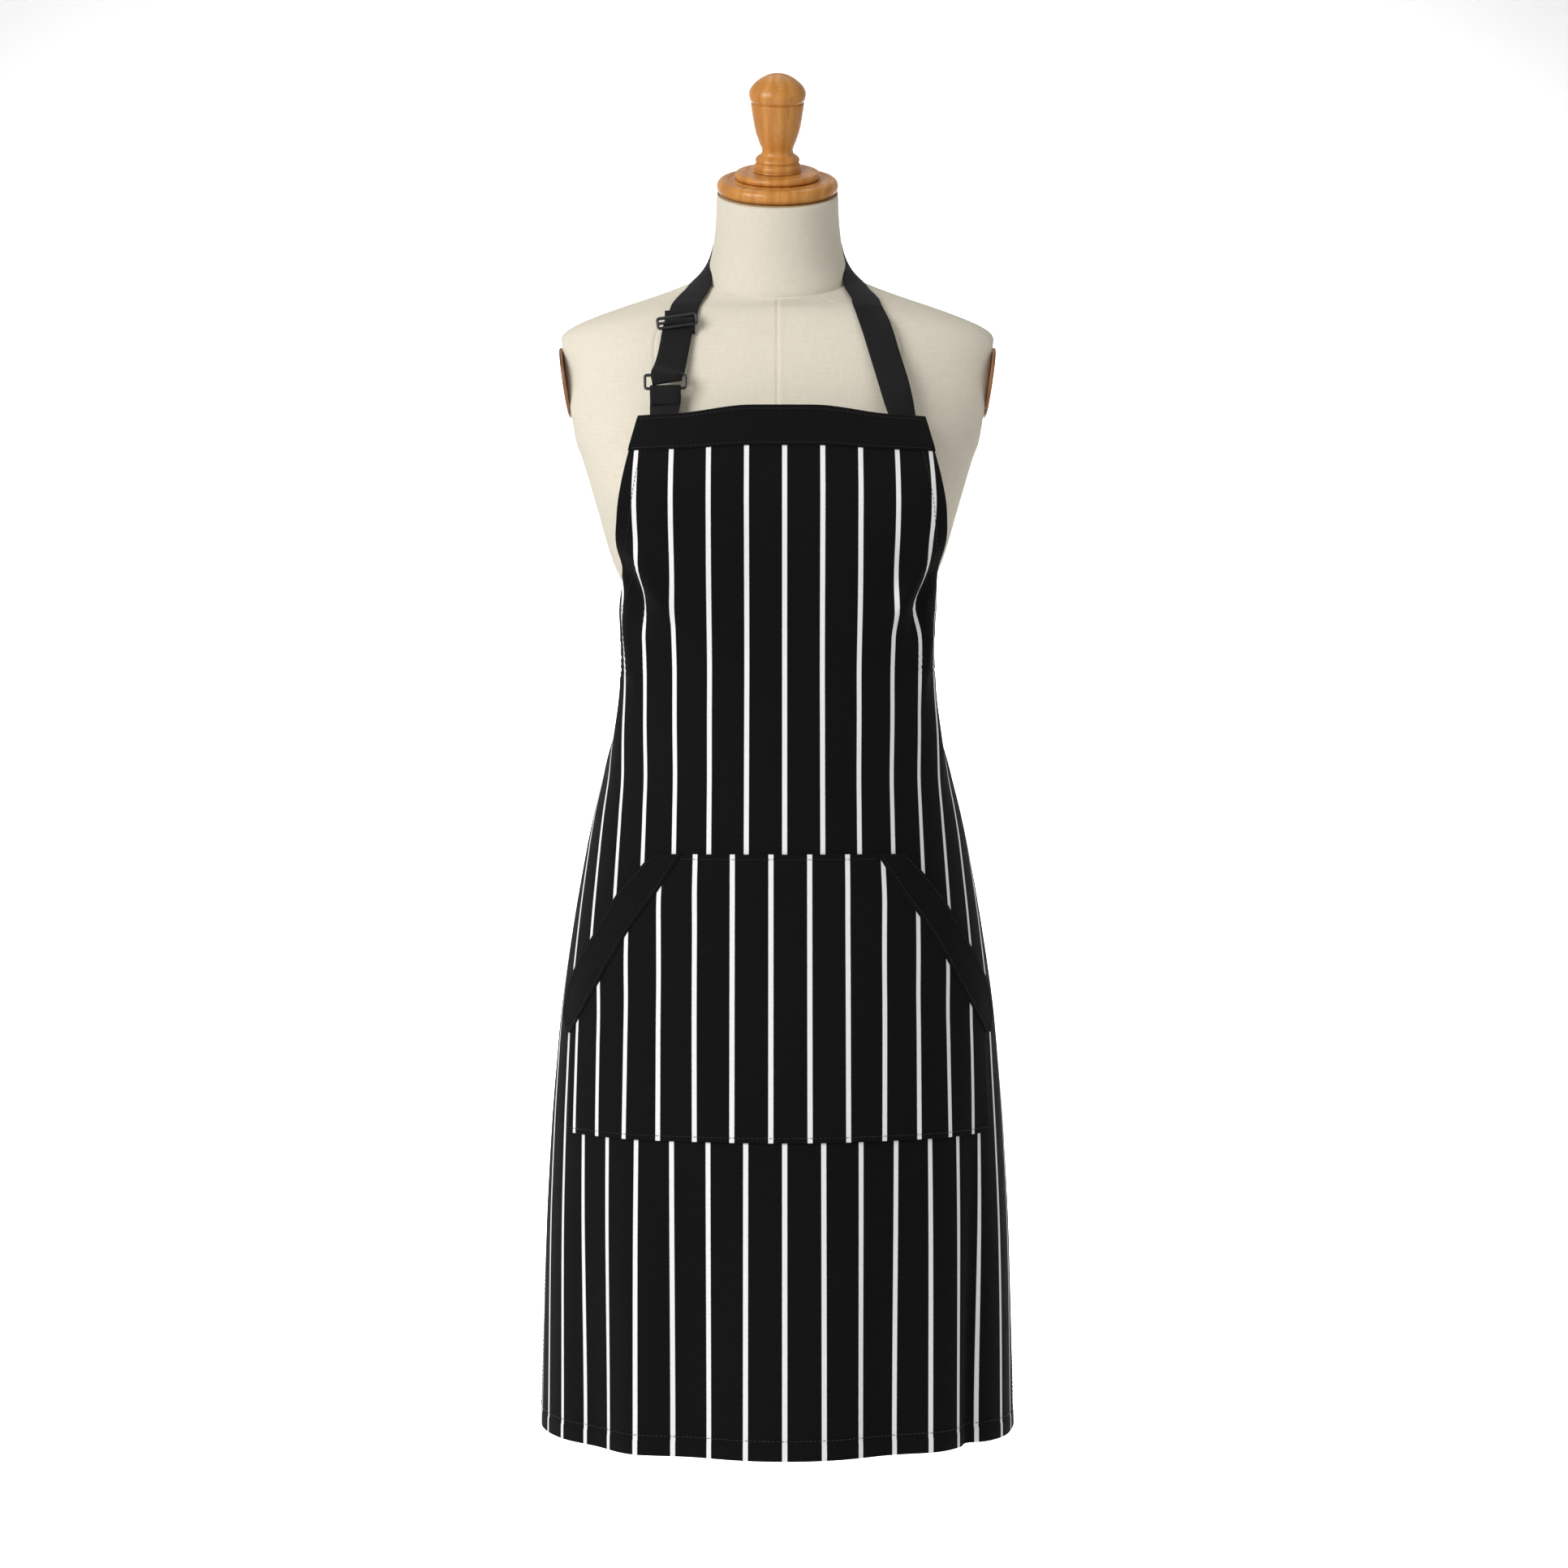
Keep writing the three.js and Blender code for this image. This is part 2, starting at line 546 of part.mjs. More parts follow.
function waistTie(side) {
  const from = clothPoint(CLOTH.offset + side * (TIE.end - TIE.sewn), TIE.z);
  const start = { p: from.p.clone().addScaledVector(from.n, TUCK + TIE.proud), n: from.n };
  const back = (x, y) => ({ p: new THREE.Vector3(side * x, y, KNOT.z - 1), n: new THREE.Vector3(side * 0.2, 1, 0) });
  return strap([start, back(44, 78.5), back(30, 82), back(KNOT.wide / 2 + GAP, 83.5)]);
}

function tieKnot() {
  return new THREE.SphereGeometry(1, 10, 6).scale(KNOT.wide / 2, KNOT.deep / 2, KNOT.tall / 2)
    .translate(KNOT.x, KNOT.y, KNOT.z);
}

function bowLoop(side) {
  const { long, open, web, wide, droop } = LOOP;
  const eye = new THREE.Shape().absellipse(long / 2, 0, long / 2, open / 2, 0, Math.PI * 2);
  eye.holes.push(new THREE.Path().absellipse(long / 2, 0, long / 2 - web, open / 2 - web, 0, Math.PI * 2));
  const g = new THREE.ExtrudeGeometry(eye, { depth: wide, bevelEnabled: false, curveSegments: 8 })
    .translate(KNOT.wide / 2 - 3, 0, -wide / 2).rotateY(rad(droop)).translate(0, KNOT.y + 12, KNOT.z + 4);
  return side < 0 ? flipped(g.applyMatrix4(new THREE.Matrix4().makeScale(-1, 1, 1))) : g;
}

function bowTail(side) {
  const stations = [];
  for (let i = 0; i <= 10; i++) {
    const t = i / 10;
    const x = side * lerp(TAIL.from[0], TAIL.to[0], t);
    const ring = ringAt(lerp(KNOT.z + TAIL.from[1], KNOT.z + TAIL.to[1], t));
    const angle = 90 - THREE.MathUtils.radToDeg(Math.asin(x / torsoPoint(ring, 0).x));
    const n = torsoNormal(ring, angle, 0.3);
    const lift = lerp(TAIL.lift[0], TAIL.lift[1], Math.min(t / TAIL.settles, 1));
    stations.push({ p: torsoPoint(ring, angle).addScaledVector(n, lift), n });
  }
  return strap(stations);
}

// ---- the assembly ----
const FINISH = {
  linen: ["#e8e3d6", 0.95, 0],
  shell: ["#c9b28a", 0.85, 0],
  wood: ["#c8883f", 0.35, 0],
  plainWood: ["#d9b27c", 0.7, 0],
  steel: ["#b8babd", 0.3, 1],
  cloth: ["#1d1d1e", 0.9, 0],
  webbing: ["#171717", 0.8, 0],
  plastic: ["#1a1a1b", 0.35, 0],
};

function piece(name, geometry, finish) {
  const [color, roughness, metalness] = FINISH[finish];
  geometry.computeVertexNormals();
  const mesh = new THREE.Mesh(geometry, new THREE.MeshStandardMaterial({ color, roughness, metalness }));
  mesh.name = name;
  return mesh;
}

const form = new THREE.Group();
form.add(
  piece("linen_cover", linenCover(), "linen"),
  piece("torso_shell", torsoShell(), "shell"),
  piece("base_board", baseBoard(), "plainWood"),
  piece("pole_socket", poleSocket(), "steel"),
  piece("spine_tube", spineTube(), "steel"),
  piece("clamp_screw", clampScrew(), "steel"),
  piece("neck_cap_lower", capLower(), "wood"),
  piece("neck_cap_upper", capUpper(), "wood"),
  piece("finial", finial(), "wood"),
  piece("finial_stud", finialStud(), "steel"),
  piece("arm_plate_right", armPlate(1), "wood"),
  piece("arm_plate_left", armPlate(-1), "wood"),
);
screwPlaces().forEach(([x, y], i) => form.add(piece(`flange_screw_${i + 1}`, flangeScrew(x, y), "steel")));

const apron = new THREE.Group();
apron.add(
  piece("apron_body", apronBody(), "cloth"),
  piece("bib_facing", bibFacing(), "cloth"),
  piece("pocket_panel", pocketPanel(), "cloth"),
  piece("pocket_binding_right", pocketBinding(1), "cloth"),
  piece("pocket_binding_left", pocketBinding(-1), "cloth"),
  piece("strap_tab", strapTab(), "webbing"),
  piece("strap_ring", barFrame(RING_AT, 1), "plastic"),
  piece("strap_slider", barFrame(SLIDER_AT, 2), "plastic"),
  piece("neck_strap", neckStrap(), "webbing"),
  piece("waist_tie_right", waistTie(1), "webbing"),
  piece("waist_tie_left", waistTie(-1), "webbing"),
  piece("tie_knot", tieKnot(), "webbing"),
  piece("bow_loop_right", bowLoop(1), "webbing"),
  piece("bow_loop_left", bowLoop(-1), "webbing"),
  piece("bow_tail_right", bowTail(1), "webbing"),
  piece("bow_tail_left", bowTail(-1), "webbing"),
);

const assembly = new THREE.Group();
assembly.add(form, apron);
export default assembly;
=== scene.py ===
import math

import bpy
import numpy as np
from mathutils import Matrix, Vector


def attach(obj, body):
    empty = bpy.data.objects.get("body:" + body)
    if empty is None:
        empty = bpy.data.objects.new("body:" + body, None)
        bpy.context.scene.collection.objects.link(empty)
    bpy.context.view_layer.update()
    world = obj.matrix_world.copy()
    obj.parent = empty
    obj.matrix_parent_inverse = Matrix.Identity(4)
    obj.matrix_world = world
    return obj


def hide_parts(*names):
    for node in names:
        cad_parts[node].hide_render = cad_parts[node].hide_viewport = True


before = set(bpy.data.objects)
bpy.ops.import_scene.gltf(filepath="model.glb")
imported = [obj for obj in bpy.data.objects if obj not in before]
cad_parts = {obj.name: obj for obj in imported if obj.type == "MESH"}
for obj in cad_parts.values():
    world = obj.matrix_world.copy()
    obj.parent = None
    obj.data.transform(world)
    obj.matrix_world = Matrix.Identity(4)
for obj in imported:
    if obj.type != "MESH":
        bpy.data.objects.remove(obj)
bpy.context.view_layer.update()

MM = 0.001

# ---- camera, floor and light ----
VIEW = {"across": 0.0055, "away": 2.85, "height": 0.251, "wide": 1.333}
SENSOR = 36.0
FLOOR_AT = -0.95
WALL_AT = 4.6
SWEEP = 1.5

# ---- the form: height, half width, front, back, squareness, slope, shift along Y, in mm ----
TORSO = [
    (36, 156, 118, 110, 2.1, 0, 0), (90, 158, 122, 114, 2.1, 0, 0), (150, 151, 118, 112, 2.1, 0, 0),
    (225, 138, 108, 103, 2.1, 0, 0), (290, 124, 95, 84, 2.1, 0, 0), (345, 115, 84, 66, 2.1, 0, 0),
    (395, 121, 92, 74, 2.1, 0, 0), (440, 140, 106, 86, 2.1, 0, 0), (487, 154, 122, 92, 2.3, 0, 0),
    (527, 166, 104, 96, 2.1, 0, 0), (550, 175, 88, 97, 2, 0, 0), (578, 185, 78, 93, 2, 0, 0),
    (602, 188, 70, 88, 2, 0, 0), (622, 188, 62, 83, 2, 0, 0), (637, 178, 56, 78, 2, 0.04, 0),
    (650, 150, 53, 72, 2, 0.12, 0), (662, 115, 52, 67, 2, 0.25, 0), (672, 80, 53, 63, 2, 0.38, 0),
    (682, 61, 55, 60, 2, 0.46, 0), (702, 56, 52, 54.5, 2, 0.43, -2), (724, 53, 51.5, 52, 2, 0.41, -7),
    (751, 51.5, 51, 51, 2, 0.4245, -14),
]
NECK_AXIS = Vector((0, -0.3907, 0.9205))
NECK_TOP = Vector((0, -14, 751))
ARM = {"x": 178, "z": 592, "lean": math.radians(8), "deep": 34, "tall": 30, "thick": 3.2}

# ---- the cloth: height, front, run of cloth to the side, lateness of the turn, run to the back ----
DRAPE = [
    (-287, -184, 293, 1.2, 640), (-121, -176, 283, 1.25, 620), (-37, -170, 277, 1.25, 600),
    (10, -165, 272, 1.25, 590), (69, -160, 264, 1.25, 560), (138, -152, 253, 1.2, 530),
    (199, -142, 241, 1.15, 480), (225, -136, 233, 1.15, 455), (262, -124, 218, 1.2, 430),
    (312, -107, 190, 1.5, 385), (345, -97, 180, 1.65, 349), (376, -101, 171, 1.9, 340),
    (400, -107, 167, 2.2, 330), (434, -119, 168, 2.5, 330), (469, -131, 208, 2.5, 330),
    (487, -134, 216, 2.4, 330), (527, -121, 210, 2, 330), (561, -108, 213, 1.6, 330),
]
OUTLINE = [
    (-287, 305), (341, 305), (350, 250), (360, 210), (376, 178), (400, 163),
    (430, 148), (466, 139), (500, 134), (527, 130), (561, 124),
]
CLOTH_MIDDLE = 4.5
BACK_TURN = 0.6
POCKET_MIDDLE = 2
POCKET_EDGE = [(-36, 205), (45, 205), (66, 183), (91, 160), (130, 131), (163, 103), (194, 82)]
BINDING_EDGE = [(45, 212), (60, 224), (84, 212), (105, 192), (130, 167), (163, 141), (194, 108)]
BAND_LOW, BIB_TOP, HEM, POCKET_LOW, POCKET_TOP = 527, 561, -287, -36, 194
STRIPE = {"every": 31.0, "wide": 4.0, "body": 6.0, "pocket": -5.0}

# Flutes and folds of the cloth: u, how far u shifts with height, half width, height of the crest (a
# hollow is negative), the z where it is fullest, how far it reaches up, how far it reaches down.
FLUTES = [
    (12, 0, 60, 6, -287, 460, 200), (-70, 0, 34, -5, -287, 420, 200), (-122, 0, 26, 5, -287, 400, 200),
    (-170, 0, 30, -4, -287, 330, 200), (92, 0, 34, -5, -287, 420, 200), (138, 0, 24, 4, -287, 400, 200),
    (182, 0, 15, -8, -287, 330, 200), (224, 0, 36, 4, -287, 300, 200),
    (-104, -0.55, 13, 7.5, 412, 52, 34), (-127, -0.4, 10, -6, 404, 46, 34), (-140, -0.2, 11, 4, 372, 40, 60),
    (108, 0.55, 13, 7.5, 404, 56, 34), (130, 0.4, 10, -6, 396, 46, 34), (143, 0.2, 11, 4, 366, 40, 60),
    (-196, 0, 24, -5, 330, 50, 120), (200, 0, 24, -5, 320, 50, 120),
    (-60, 0.2, 26, 1.8, 430, 50, 90), (64, -0.2, 26, 1.8, 424, 50, 90),
]


# ---- numbers ----
def rows_at(table, heights):
    """The table's columns at each height, joined by smooth curves."""
    t = np.array(table, float)
    z = np.clip(np.asarray(heights, float), t[0, 0], t[-1, 0])
    i = np.clip(np.searchsorted(t[:, 0], z, side="right") - 1, 0, len(t) - 2)
    before, after = np.maximum(np.arange(len(t)) - 1, 0), np.minimum(np.arange(len(t)) + 1, len(t) - 1)
    slope = (t[after] - t[before]) / (t[after, :1] - t[before, :1])
    span = (t[i + 1, 0] - t[i, 0])[:, None]
    f = ((z - t[i, 0]) / span[:, 0])[:, None]
    return ((2 * f**3 - 3 * f**2 + 1) * t[i] + (f**3 - 2 * f**2 + f) * span * slope[i]
            + (-2 * f**3 + 3 * f**2) * t[i + 1] + (f**3 - f**2) * span * slope[i + 1])


def straight_rows(table, heights):
    """The table's columns at each height, joined by straight lines."""
    t = np.array(table, float)
    return np.stack([np.interp(heights, t[:, 0], column) for column in t.T], axis=-1)


def width_at(table, z):
    t = np.array(table, float)
    return np.interp(z, t[:, 0], t[:, 1])


def smooth(a, b, x):
    f = np.clip((x - a) / (b - a), 0, 1)
    return f * f * (3 - 2 * f)


# ---- the cloth's surface ----
REACH = np.arange(0, 341, 1.0)
U_LINE = np.arange(-330, 331, 1.0)


def flute_height(u, z):
    """How far the cloth stands off its smooth run, in mm."""
    total = np.zeros(np.broadcast(u, z).shape)
    for middle, lean, half, crest, full, up, down in FLUTES:
        rise = np.where(z > full, 1 - smooth(0, up, z - full), 1 - smooth(0, down, full - z))
        total = total + crest * rise * np.exp(-(((u - middle - lean * (z - full)) / half) ** 2) * 1.4)
    return total


def bib_sag(u, z):
    """How far the top of the bib sinks beside its middle, in mm."""
    return 6 * smooth(25, 90, np.abs(np.asarray(u, float) - CLOTH_MIDDLE)) * smooth(500, 561, z)


class Row:
    """One height of the cloth, ready to give a point for any u."""

    def __init__(self, z):
        _, front, side, late, back = rows_at(DRAPE, [z])[0]
        s = REACH
        turn = np.where(s < side, (np.clip(s / side, 0, 1)) ** late,
                        1 + np.clip((s - side) / (back - side), 0, 1) ** BACK_TURN) * math.pi / 2
        half = (turn[1:] + turn[:-1]) / 2
        self.z = z
        self.turn = turn
        self.x = np.concatenate([[0], np.cumsum(np.cos(half))])
        self.y = front + np.concatenate([[0], np.cumsum(np.sin(half))])
        lift = flute_height(U_LINE, z)
        used = np.sqrt(np.clip(1 - np.gradient(lift, U_LINE) ** 2, 0.02, 1))
        run = np.concatenate([[0], np.cumsum((used[1:] + used[:-1]) / 2)])
        self.run = run - np.interp(0, U_LINE, run)
        self.lift = lift

    def points(self, u, off):
        u = np.asarray(u, float)
        s = np.interp(u, U_LINE, self.run)
        a = np.abs(s)
        sign = np.where(s < 0, -1, 1)
        turn = np.interp(a, REACH, self.turn)
        lift = np.interp(u, U_LINE, self.lift) + off
        x = sign * (np.interp(a, REACH, self.x) + lift * np.sin(turn))
        y = np.interp(a, REACH, self.y) - lift * np.cos(turn)
        return np.stack([x, y, self.z - bib_sag(u, self.z)], axis=-1)


def cloth_grid(heights, left, right, columns, off=0.0):
    """Points and (u, z) of a piece of cloth, rows from low to high, in mm."""
    points, flat = [], []
    for z in heights:
        u = np.linspace(left(z), right(z), columns + 1)
        lift = off(u, z) if callable(off) else off
        points.append(Row(z).points(u, lift))
        flat.append(np.stack([u, np.full_like(u, z)], axis=-1))
    return np.array(points), np.array(flat)


def steps(low, high, step, also=()):
    """Heights from low to high, with some that must be among them."""
    marks = sorted({low, high, *also})
    out = [low]
    for a, b in zip(marks, marks[1:]):
        n = max(1, round((b - a) / step))
        out += [a + (b - a) * (k + 1) / n for k in range(n)]
    return out


# ---- meshes ----
def make(name, verts, faces, material, uv=None, smooth_faces=True, body="form"):
    mesh = bpy.data.meshes.new(name)
    mesh.from_pydata([tuple(v) for v in np.asarray(verts, float) * MM], [], faces)
    mesh.update()
    if uv is not None:
        layer = mesh.uv_layers.new(name="Cloth")
        loops = np.array([l.vertex_index for l in mesh.loops])
        layer.data.foreach_set("uv", (np.asarray(uv, float)[loops] * MM).ravel())
    mesh.polygons.foreach_set("use_smooth", [smooth_faces] * len(mesh.polygons))
    mesh.materials.append(material)
    piece = bpy.data.objects.new(name, mesh)
    bpy.context.scene.collection.objects.link(piece)
    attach(piece, body)
    return piece


def grid_faces(rows, columns, closed=False, start=0):
    """Quads of a grid of points; closed joins the last column to the first."""
    last = columns if closed else columns - 1
    return [(start + r * columns + k, start + r * columns + (k + 1) % columns,
             start + (r + 1) * columns + (k + 1) % columns, start + (r + 1) * columns + k)
            for r in range(rows - 1) for k in range(last)]


def sheet_piece(name, grid, flat, material, thick):
    rows, columns = grid.shape[:2]
    faces = grid_faces(rows, columns)
    piece = make(name, grid.reshape(-1, 3), faces, material, flat.reshape(-1, 2))
    thicken(piece, thick, 0)
    return piece


def thicken(piece, thick, offset):
    solid = piece.modifiers.new("Thickness", "SOLIDIFY")
    solid.thickness = thick * MM
    solid.offset = offset


def merged(parts):
    """One list of points and faces from several (points, faces)."""
    verts, faces = [], []
    for v, f in parts:
        faces += [tuple(i + len(verts) for i in face) for face in f]
        verts += [tuple(p) for p in v]
    return verts, faces


def lathe(profile, sides, place, axis):
    """Points and faces turned about axis through place; profile is (radius, height) in mm."""
    turn = Vector((0, 0, 1)).rotation_difference(Vector(axis)).to_matrix()
    verts = [Vector(place) + turn @ Vector((r * math.cos(a), r * math.sin(a), h))
             for r, h in profile for a in (2 * math.pi * k / sides for k in range(sides))]
    return [tuple(v) for v in verts], grid_faces(len(profile), sides, closed=True)


def rounded(profile, corner=0.8, cuts=3):
    """The profile with each inner corner cut to a small curve."""
    out = [profile[0]]
    for a, b, c in zip(profile, profile[1:], profile[2:]):
        a, b, c = (np.array(p, float) for p in (a, b, c))
        first, second = a - b, c - b
        reach = min(corner, 0.45 * np.linalg.norm(first), 0.45 * np.linalg.norm(second))
        start = b + first / max(np.linalg.norm(first), 1e-6) * reach
        end = b + second / max(np.linalg.norm(second), 1e-6) * reach
        for k in range(cuts + 1):
            t = k / cuts
            out.append(tuple((1 - t) ** 2 * start + 2 * t * (1 - t) * b + t**2 * end))
    return out + [profile[-1]]


# ---- finishes ----
def srgb(r, g, b):
    line = [((c / 255 + 0.055) / 1.055) ** 2.4 if c > 10 else c / 255 / 12.92 for c in (r, g, b)]
    return (*line, 1.0)


def add(tree, kind, inputs=None, **settings):
    node = tree.nodes.new("ShaderNode" + kind)
    for key, value in settings.items():
        setattr(node, key, value)
    for key, value in (inputs or {}).items():
        if isinstance(value, bpy.types.NodeSocket):
            tree.links.new(value, node.inputs[key])
        else:
            node.inputs[key].default_value = value
    return node


def calc(tree, operation, *values, clamp=False):
    return add(tree, "Math", dict(enumerate(values)), operation=operation, use_clamp=clamp).outputs[0]


def mix(tree, share, a, b, blend="MIX"):
    node = add(tree, "Mix", data_type="RGBA", blend_type=blend)
    for socket, value in (("Factor_Float", share), ("A_Color", a), ("B_Color", b)):
        target = next(s for s in node.inputs if s.identifier == socket)
        if isinstance(value, bpy.types.NodeSocket):
            tree.links.new(value, target)
        else:
            target.default_value = value
    return next(s for s in node.outputs if s.identifier == "Result_Color")


def remap(tree, value, low, high, to_low, to_high):
    return add(tree, "MapRange", {"Value": value, "From Min": low, "From Max": high,
                                  "To Min": to_low, "To Max": to_high}).outputs[0]


def effect(name, inputs, outputs):
    """An empty node group with number and vector sockets; gives the tree, its inputs and its output node."""
    tree = bpy.data.node_groups.new(name, "ShaderNodeTree")
    for label, kind in inputs:
        tree.interface.new_socket(label, in_out="INPUT", socket_type="NodeSocket" + kind)
    for label, kind in outputs:
        tree.interface.new_socket(label, in_out="OUTPUT", socket_type="NodeSocket" + kind)
    return tree, tree.nodes.new("NodeGroupInput").outputs, tree.nodes.new("NodeGroupOutput")


def use(tree, group, **inputs):
    node = tree.nodes.new("ShaderNodeGroup")
    node.node_tree = group
    for key, value in inputs.items():
        socket = node.inputs[key.replace("_", " ")]
        if isinstance(value, bpy.types.NodeSocket):
            tree.links.new(value, socket)
        else:
            socket.default_value = value
    return node.outputs


def plain_weave():
    """Over and under threads, pitch in metres."""
    tree, given, out = effect("Plain weave", [("Vector", "Vector"), ("Pitch", "Float"), ("Slub", "Float")],
                              [("Height", "Float"), ("Shade", "Float")])
    turn = calc(tree, "DIVIDE", 2 * math.pi, given["Pitch"])
    axes = add(tree, "SeparateXYZ", {0: given["Vector"]}).outputs
    warp = calc(tree, "SINE", calc(tree, "MULTIPLY", axes["X"], turn))
    weft = calc(tree, "SINE", calc(tree, "MULTIPLY", axes["Y"], turn))
    threads = calc(tree, "MULTIPLY_ADD", calc(tree, "MULTIPLY", warp, weft), 0.5, 0.5)
    runs = []
    for stretch in ((60, 1400, 1), (1400, 60, 1)):
        long = add(tree, "VectorMath", {0: given["Vector"], 1: stretch}, operation="MULTIPLY").outputs[0]
        runs.append(add(tree, "TexNoise", {"Vector": long, "Scale": 1.0, "Detail": 2.0}).outputs[0])
    slub = calc(tree, "MULTIPLY", calc(tree, "SUBTRACT", calc(tree, "ADD", *runs), 1.0), given["Slub"])
    tree.links.new(calc(tree, "ADD", threads, slub), out.inputs["Height"])
    tree.links.new(calc(tree, "ADD", 0.5, slub), out.inputs["Shade"])
    return tree


def twill_weave():
    """Slanted ribs, pitch in metres."""
    tree, given, out = effect("Twill weave", [("Vector", "Vector"), ("Pitch", "Float")],
                              [("Height", "Float"), ("Fuzz", "Float")])
    turn = calc(tree, "DIVIDE", 2 * math.pi, given["Pitch"])
    axes = add(tree, "SeparateXYZ", {0: given["Vector"]}).outputs
    slant = calc(tree, "MULTIPLY_ADD", axes["Y"], 0.6, axes["X"])
    rib = calc(tree, "MULTIPLY_ADD", calc(tree, "SINE", calc(tree, "MULTIPLY", slant, turn)), 0.5, 0.5)
    cross = calc(tree, "SINE", calc(tree, "MULTIPLY", calc(tree, "SUBTRACT", axes["Y"], axes["X"]), turn))
    fuzz = add(tree, "TexNoise", {"Vector": given["Vector"], "Scale": 900.0, "Detail": 3.0}).outputs[0]
    tree.links.new(calc(tree, "ADD", calc(tree, "MULTIPLY_ADD", cross, 0.15, rib),
                        calc(tree, "MULTIPLY", fuzz, 0.4)), out.inputs["Height"])
    tree.links.new(fuzz, out.inputs["Fuzz"])
    return tree


def pinstripe():
    """White where a stripe runs; Every and Wide are in metres along X."""
    tree, given, out = effect("Pinstripe", [("Vector", "Vector"), ("Start", "Float"), ("Every", "Float"),
                                            ("Wide", "Float")], [("Mask", "Float")])
    axes = add(tree, "SeparateXYZ", {0: given["Vector"]}).outputs
    steps_in = calc(tree, "DIVIDE", calc(tree, "SUBTRACT", axes["X"], given["Start"]), given["Every"])
    near = calc(tree, "ABSOLUTE", calc(tree, "SUBTRACT", steps_in, calc(tree, "ROUND", steps_in)))
    from_middle = calc(tree, "MULTIPLY", near, given["Every"])
    away = calc(tree, "SUBTRACT", from_middle, calc(tree, "MULTIPLY", given["Wide"], 0.5))
    rough = add(tree, "TexNoise", {"Vector": given["Vector"], "Scale": 1600.0, "Detail": 2.0}).outputs[0]
    edge = calc(tree, "MULTIPLY_ADD", calc(tree, "SUBTRACT", rough, 0.5), 0.0006, away)
    tree.links.new(remap(tree, edge, -0.0002, 0.0002, 1.0, 0.0), out.inputs["Mask"])
    return tree


def wood_grain():
    """Long grain along Z with fine pores."""
    tree, given, out = effect("Wood grain", [("Vector", "Vector"), ("Scale", "Float")],
                              [("Grain", "Float"), ("Pores", "Float")])
    scaled = add(tree, "VectorMath", {0: given["Vector"], "Scale": given["Scale"]}, operation="SCALE")
    scaled = scaled.outputs[0]
    long = add(tree, "VectorMath", {0: scaled, 1: (1, 1, 0.09)}, operation="MULTIPLY").outputs[0]
    warp = add(tree, "TexNoise", {"Vector": long, "Scale": 14.0, "Detail": 3.0}).outputs[0]
    bands = add(tree, "TexWave", {"Vector": long, "Scale": 26.0, "Distortion": 9.0, "Detail": 2.0,
                                  "Detail Scale": 1.4}, wave_type="BANDS", bands_direction="X").outputs["Fac"]
    thin = add(tree, "VectorMath", {0: scaled, 1: (1, 1, 0.03)}, operation="MULTIPLY").outputs[0]
    pores = add(tree, "TexNoise", {"Vector": thin, "Scale": 620.0, "Detail": 2.0}).outputs[0]
    grain = calc(tree, "MULTIPLY_ADD", bands, 0.55, calc(tree, "MULTIPLY", warp, 0.45))
    tree.links.new(grain, out.inputs["Grain"])
    tree.links.new(remap(tree, pores, 0.56, 0.7, 0.0, 1.0), out.inputs["Pores"])
    return tree


PLAIN_WEAVE, TWILL_WEAVE, PINSTRIPE, WOOD_GRAIN = plain_weave(), twill_weave(), pinstripe(), wood_grain()


class Finish:
    """A material with its shader, ready for colour, roughness and relief."""

    def __init__(self, name, roughness=0.5, **sockets):
        self.material = bpy.data.materials.new(name)
        self.material.use_nodes = True
        self.tree = self.material.node_tree
        self.shader = self.tree.nodes["Principled BSDF"]
        self.shader.inputs["Roughness"].default_value = roughness
        for key, value in sockets.items():
            self.shader.inputs[key.replace("_", " ")].default_value = value

    def flat_way(self):
        return add(self.tree, "UVMap", uv_map="Cloth").outputs[0]

    def solid_way(self, lean=0.0):
        place = add(self.tree, "TexCoord").outputs["Object"]
        return add(self.tree, "Mapping", {"Vector": place, "Rotation": (lean, 0, 0)}).outputs[0]

    def noise(self, way, scale, detail=3.0):
        return add(self.tree, "TexNoise", {"Vector": way, "Scale": scale, "Detail": detail}).outputs[0]

    def colour(self, socket):
        self.tree.links.new(socket, self.shader.inputs["Base Color"])

    def rough(self, socket):
        self.tree.links.new(socket, self.shader.inputs["Roughness"])

    def relief(self, height, depth, strength=1.0):
        bump = add(self.tree, "Bump", {"Height": height, "Distance": depth, "Strength": strength})
        self.tree.links.new(bump.outputs[0], self.shader.inputs["Normal"])


def linen_finish():
    f = Finish("Natural linen", 0.94, Sheen_Weight=0.04, Sheen_Roughness=0.5, Specular_IOR_Level=0.15)
    way = f.flat_way()
    weave = use(f.tree, PLAIN_WEAVE, Vector=way, Pitch=0.0011, Slub=0.9)
    tone = mix(f.tree, weave["Shade"], srgb(216, 206, 186), srgb(240, 233, 217))
    cloudy = remap(f.tree, f.noise(f.solid_way(), 9.0), 0.3, 0.7, 0.0, 0.25)
    f.colour(mix(f.tree, cloudy, tone, srgb(222, 214, 196)))
    f.relief(weave["Height"], 0.00022, 0.7)
    return f.material


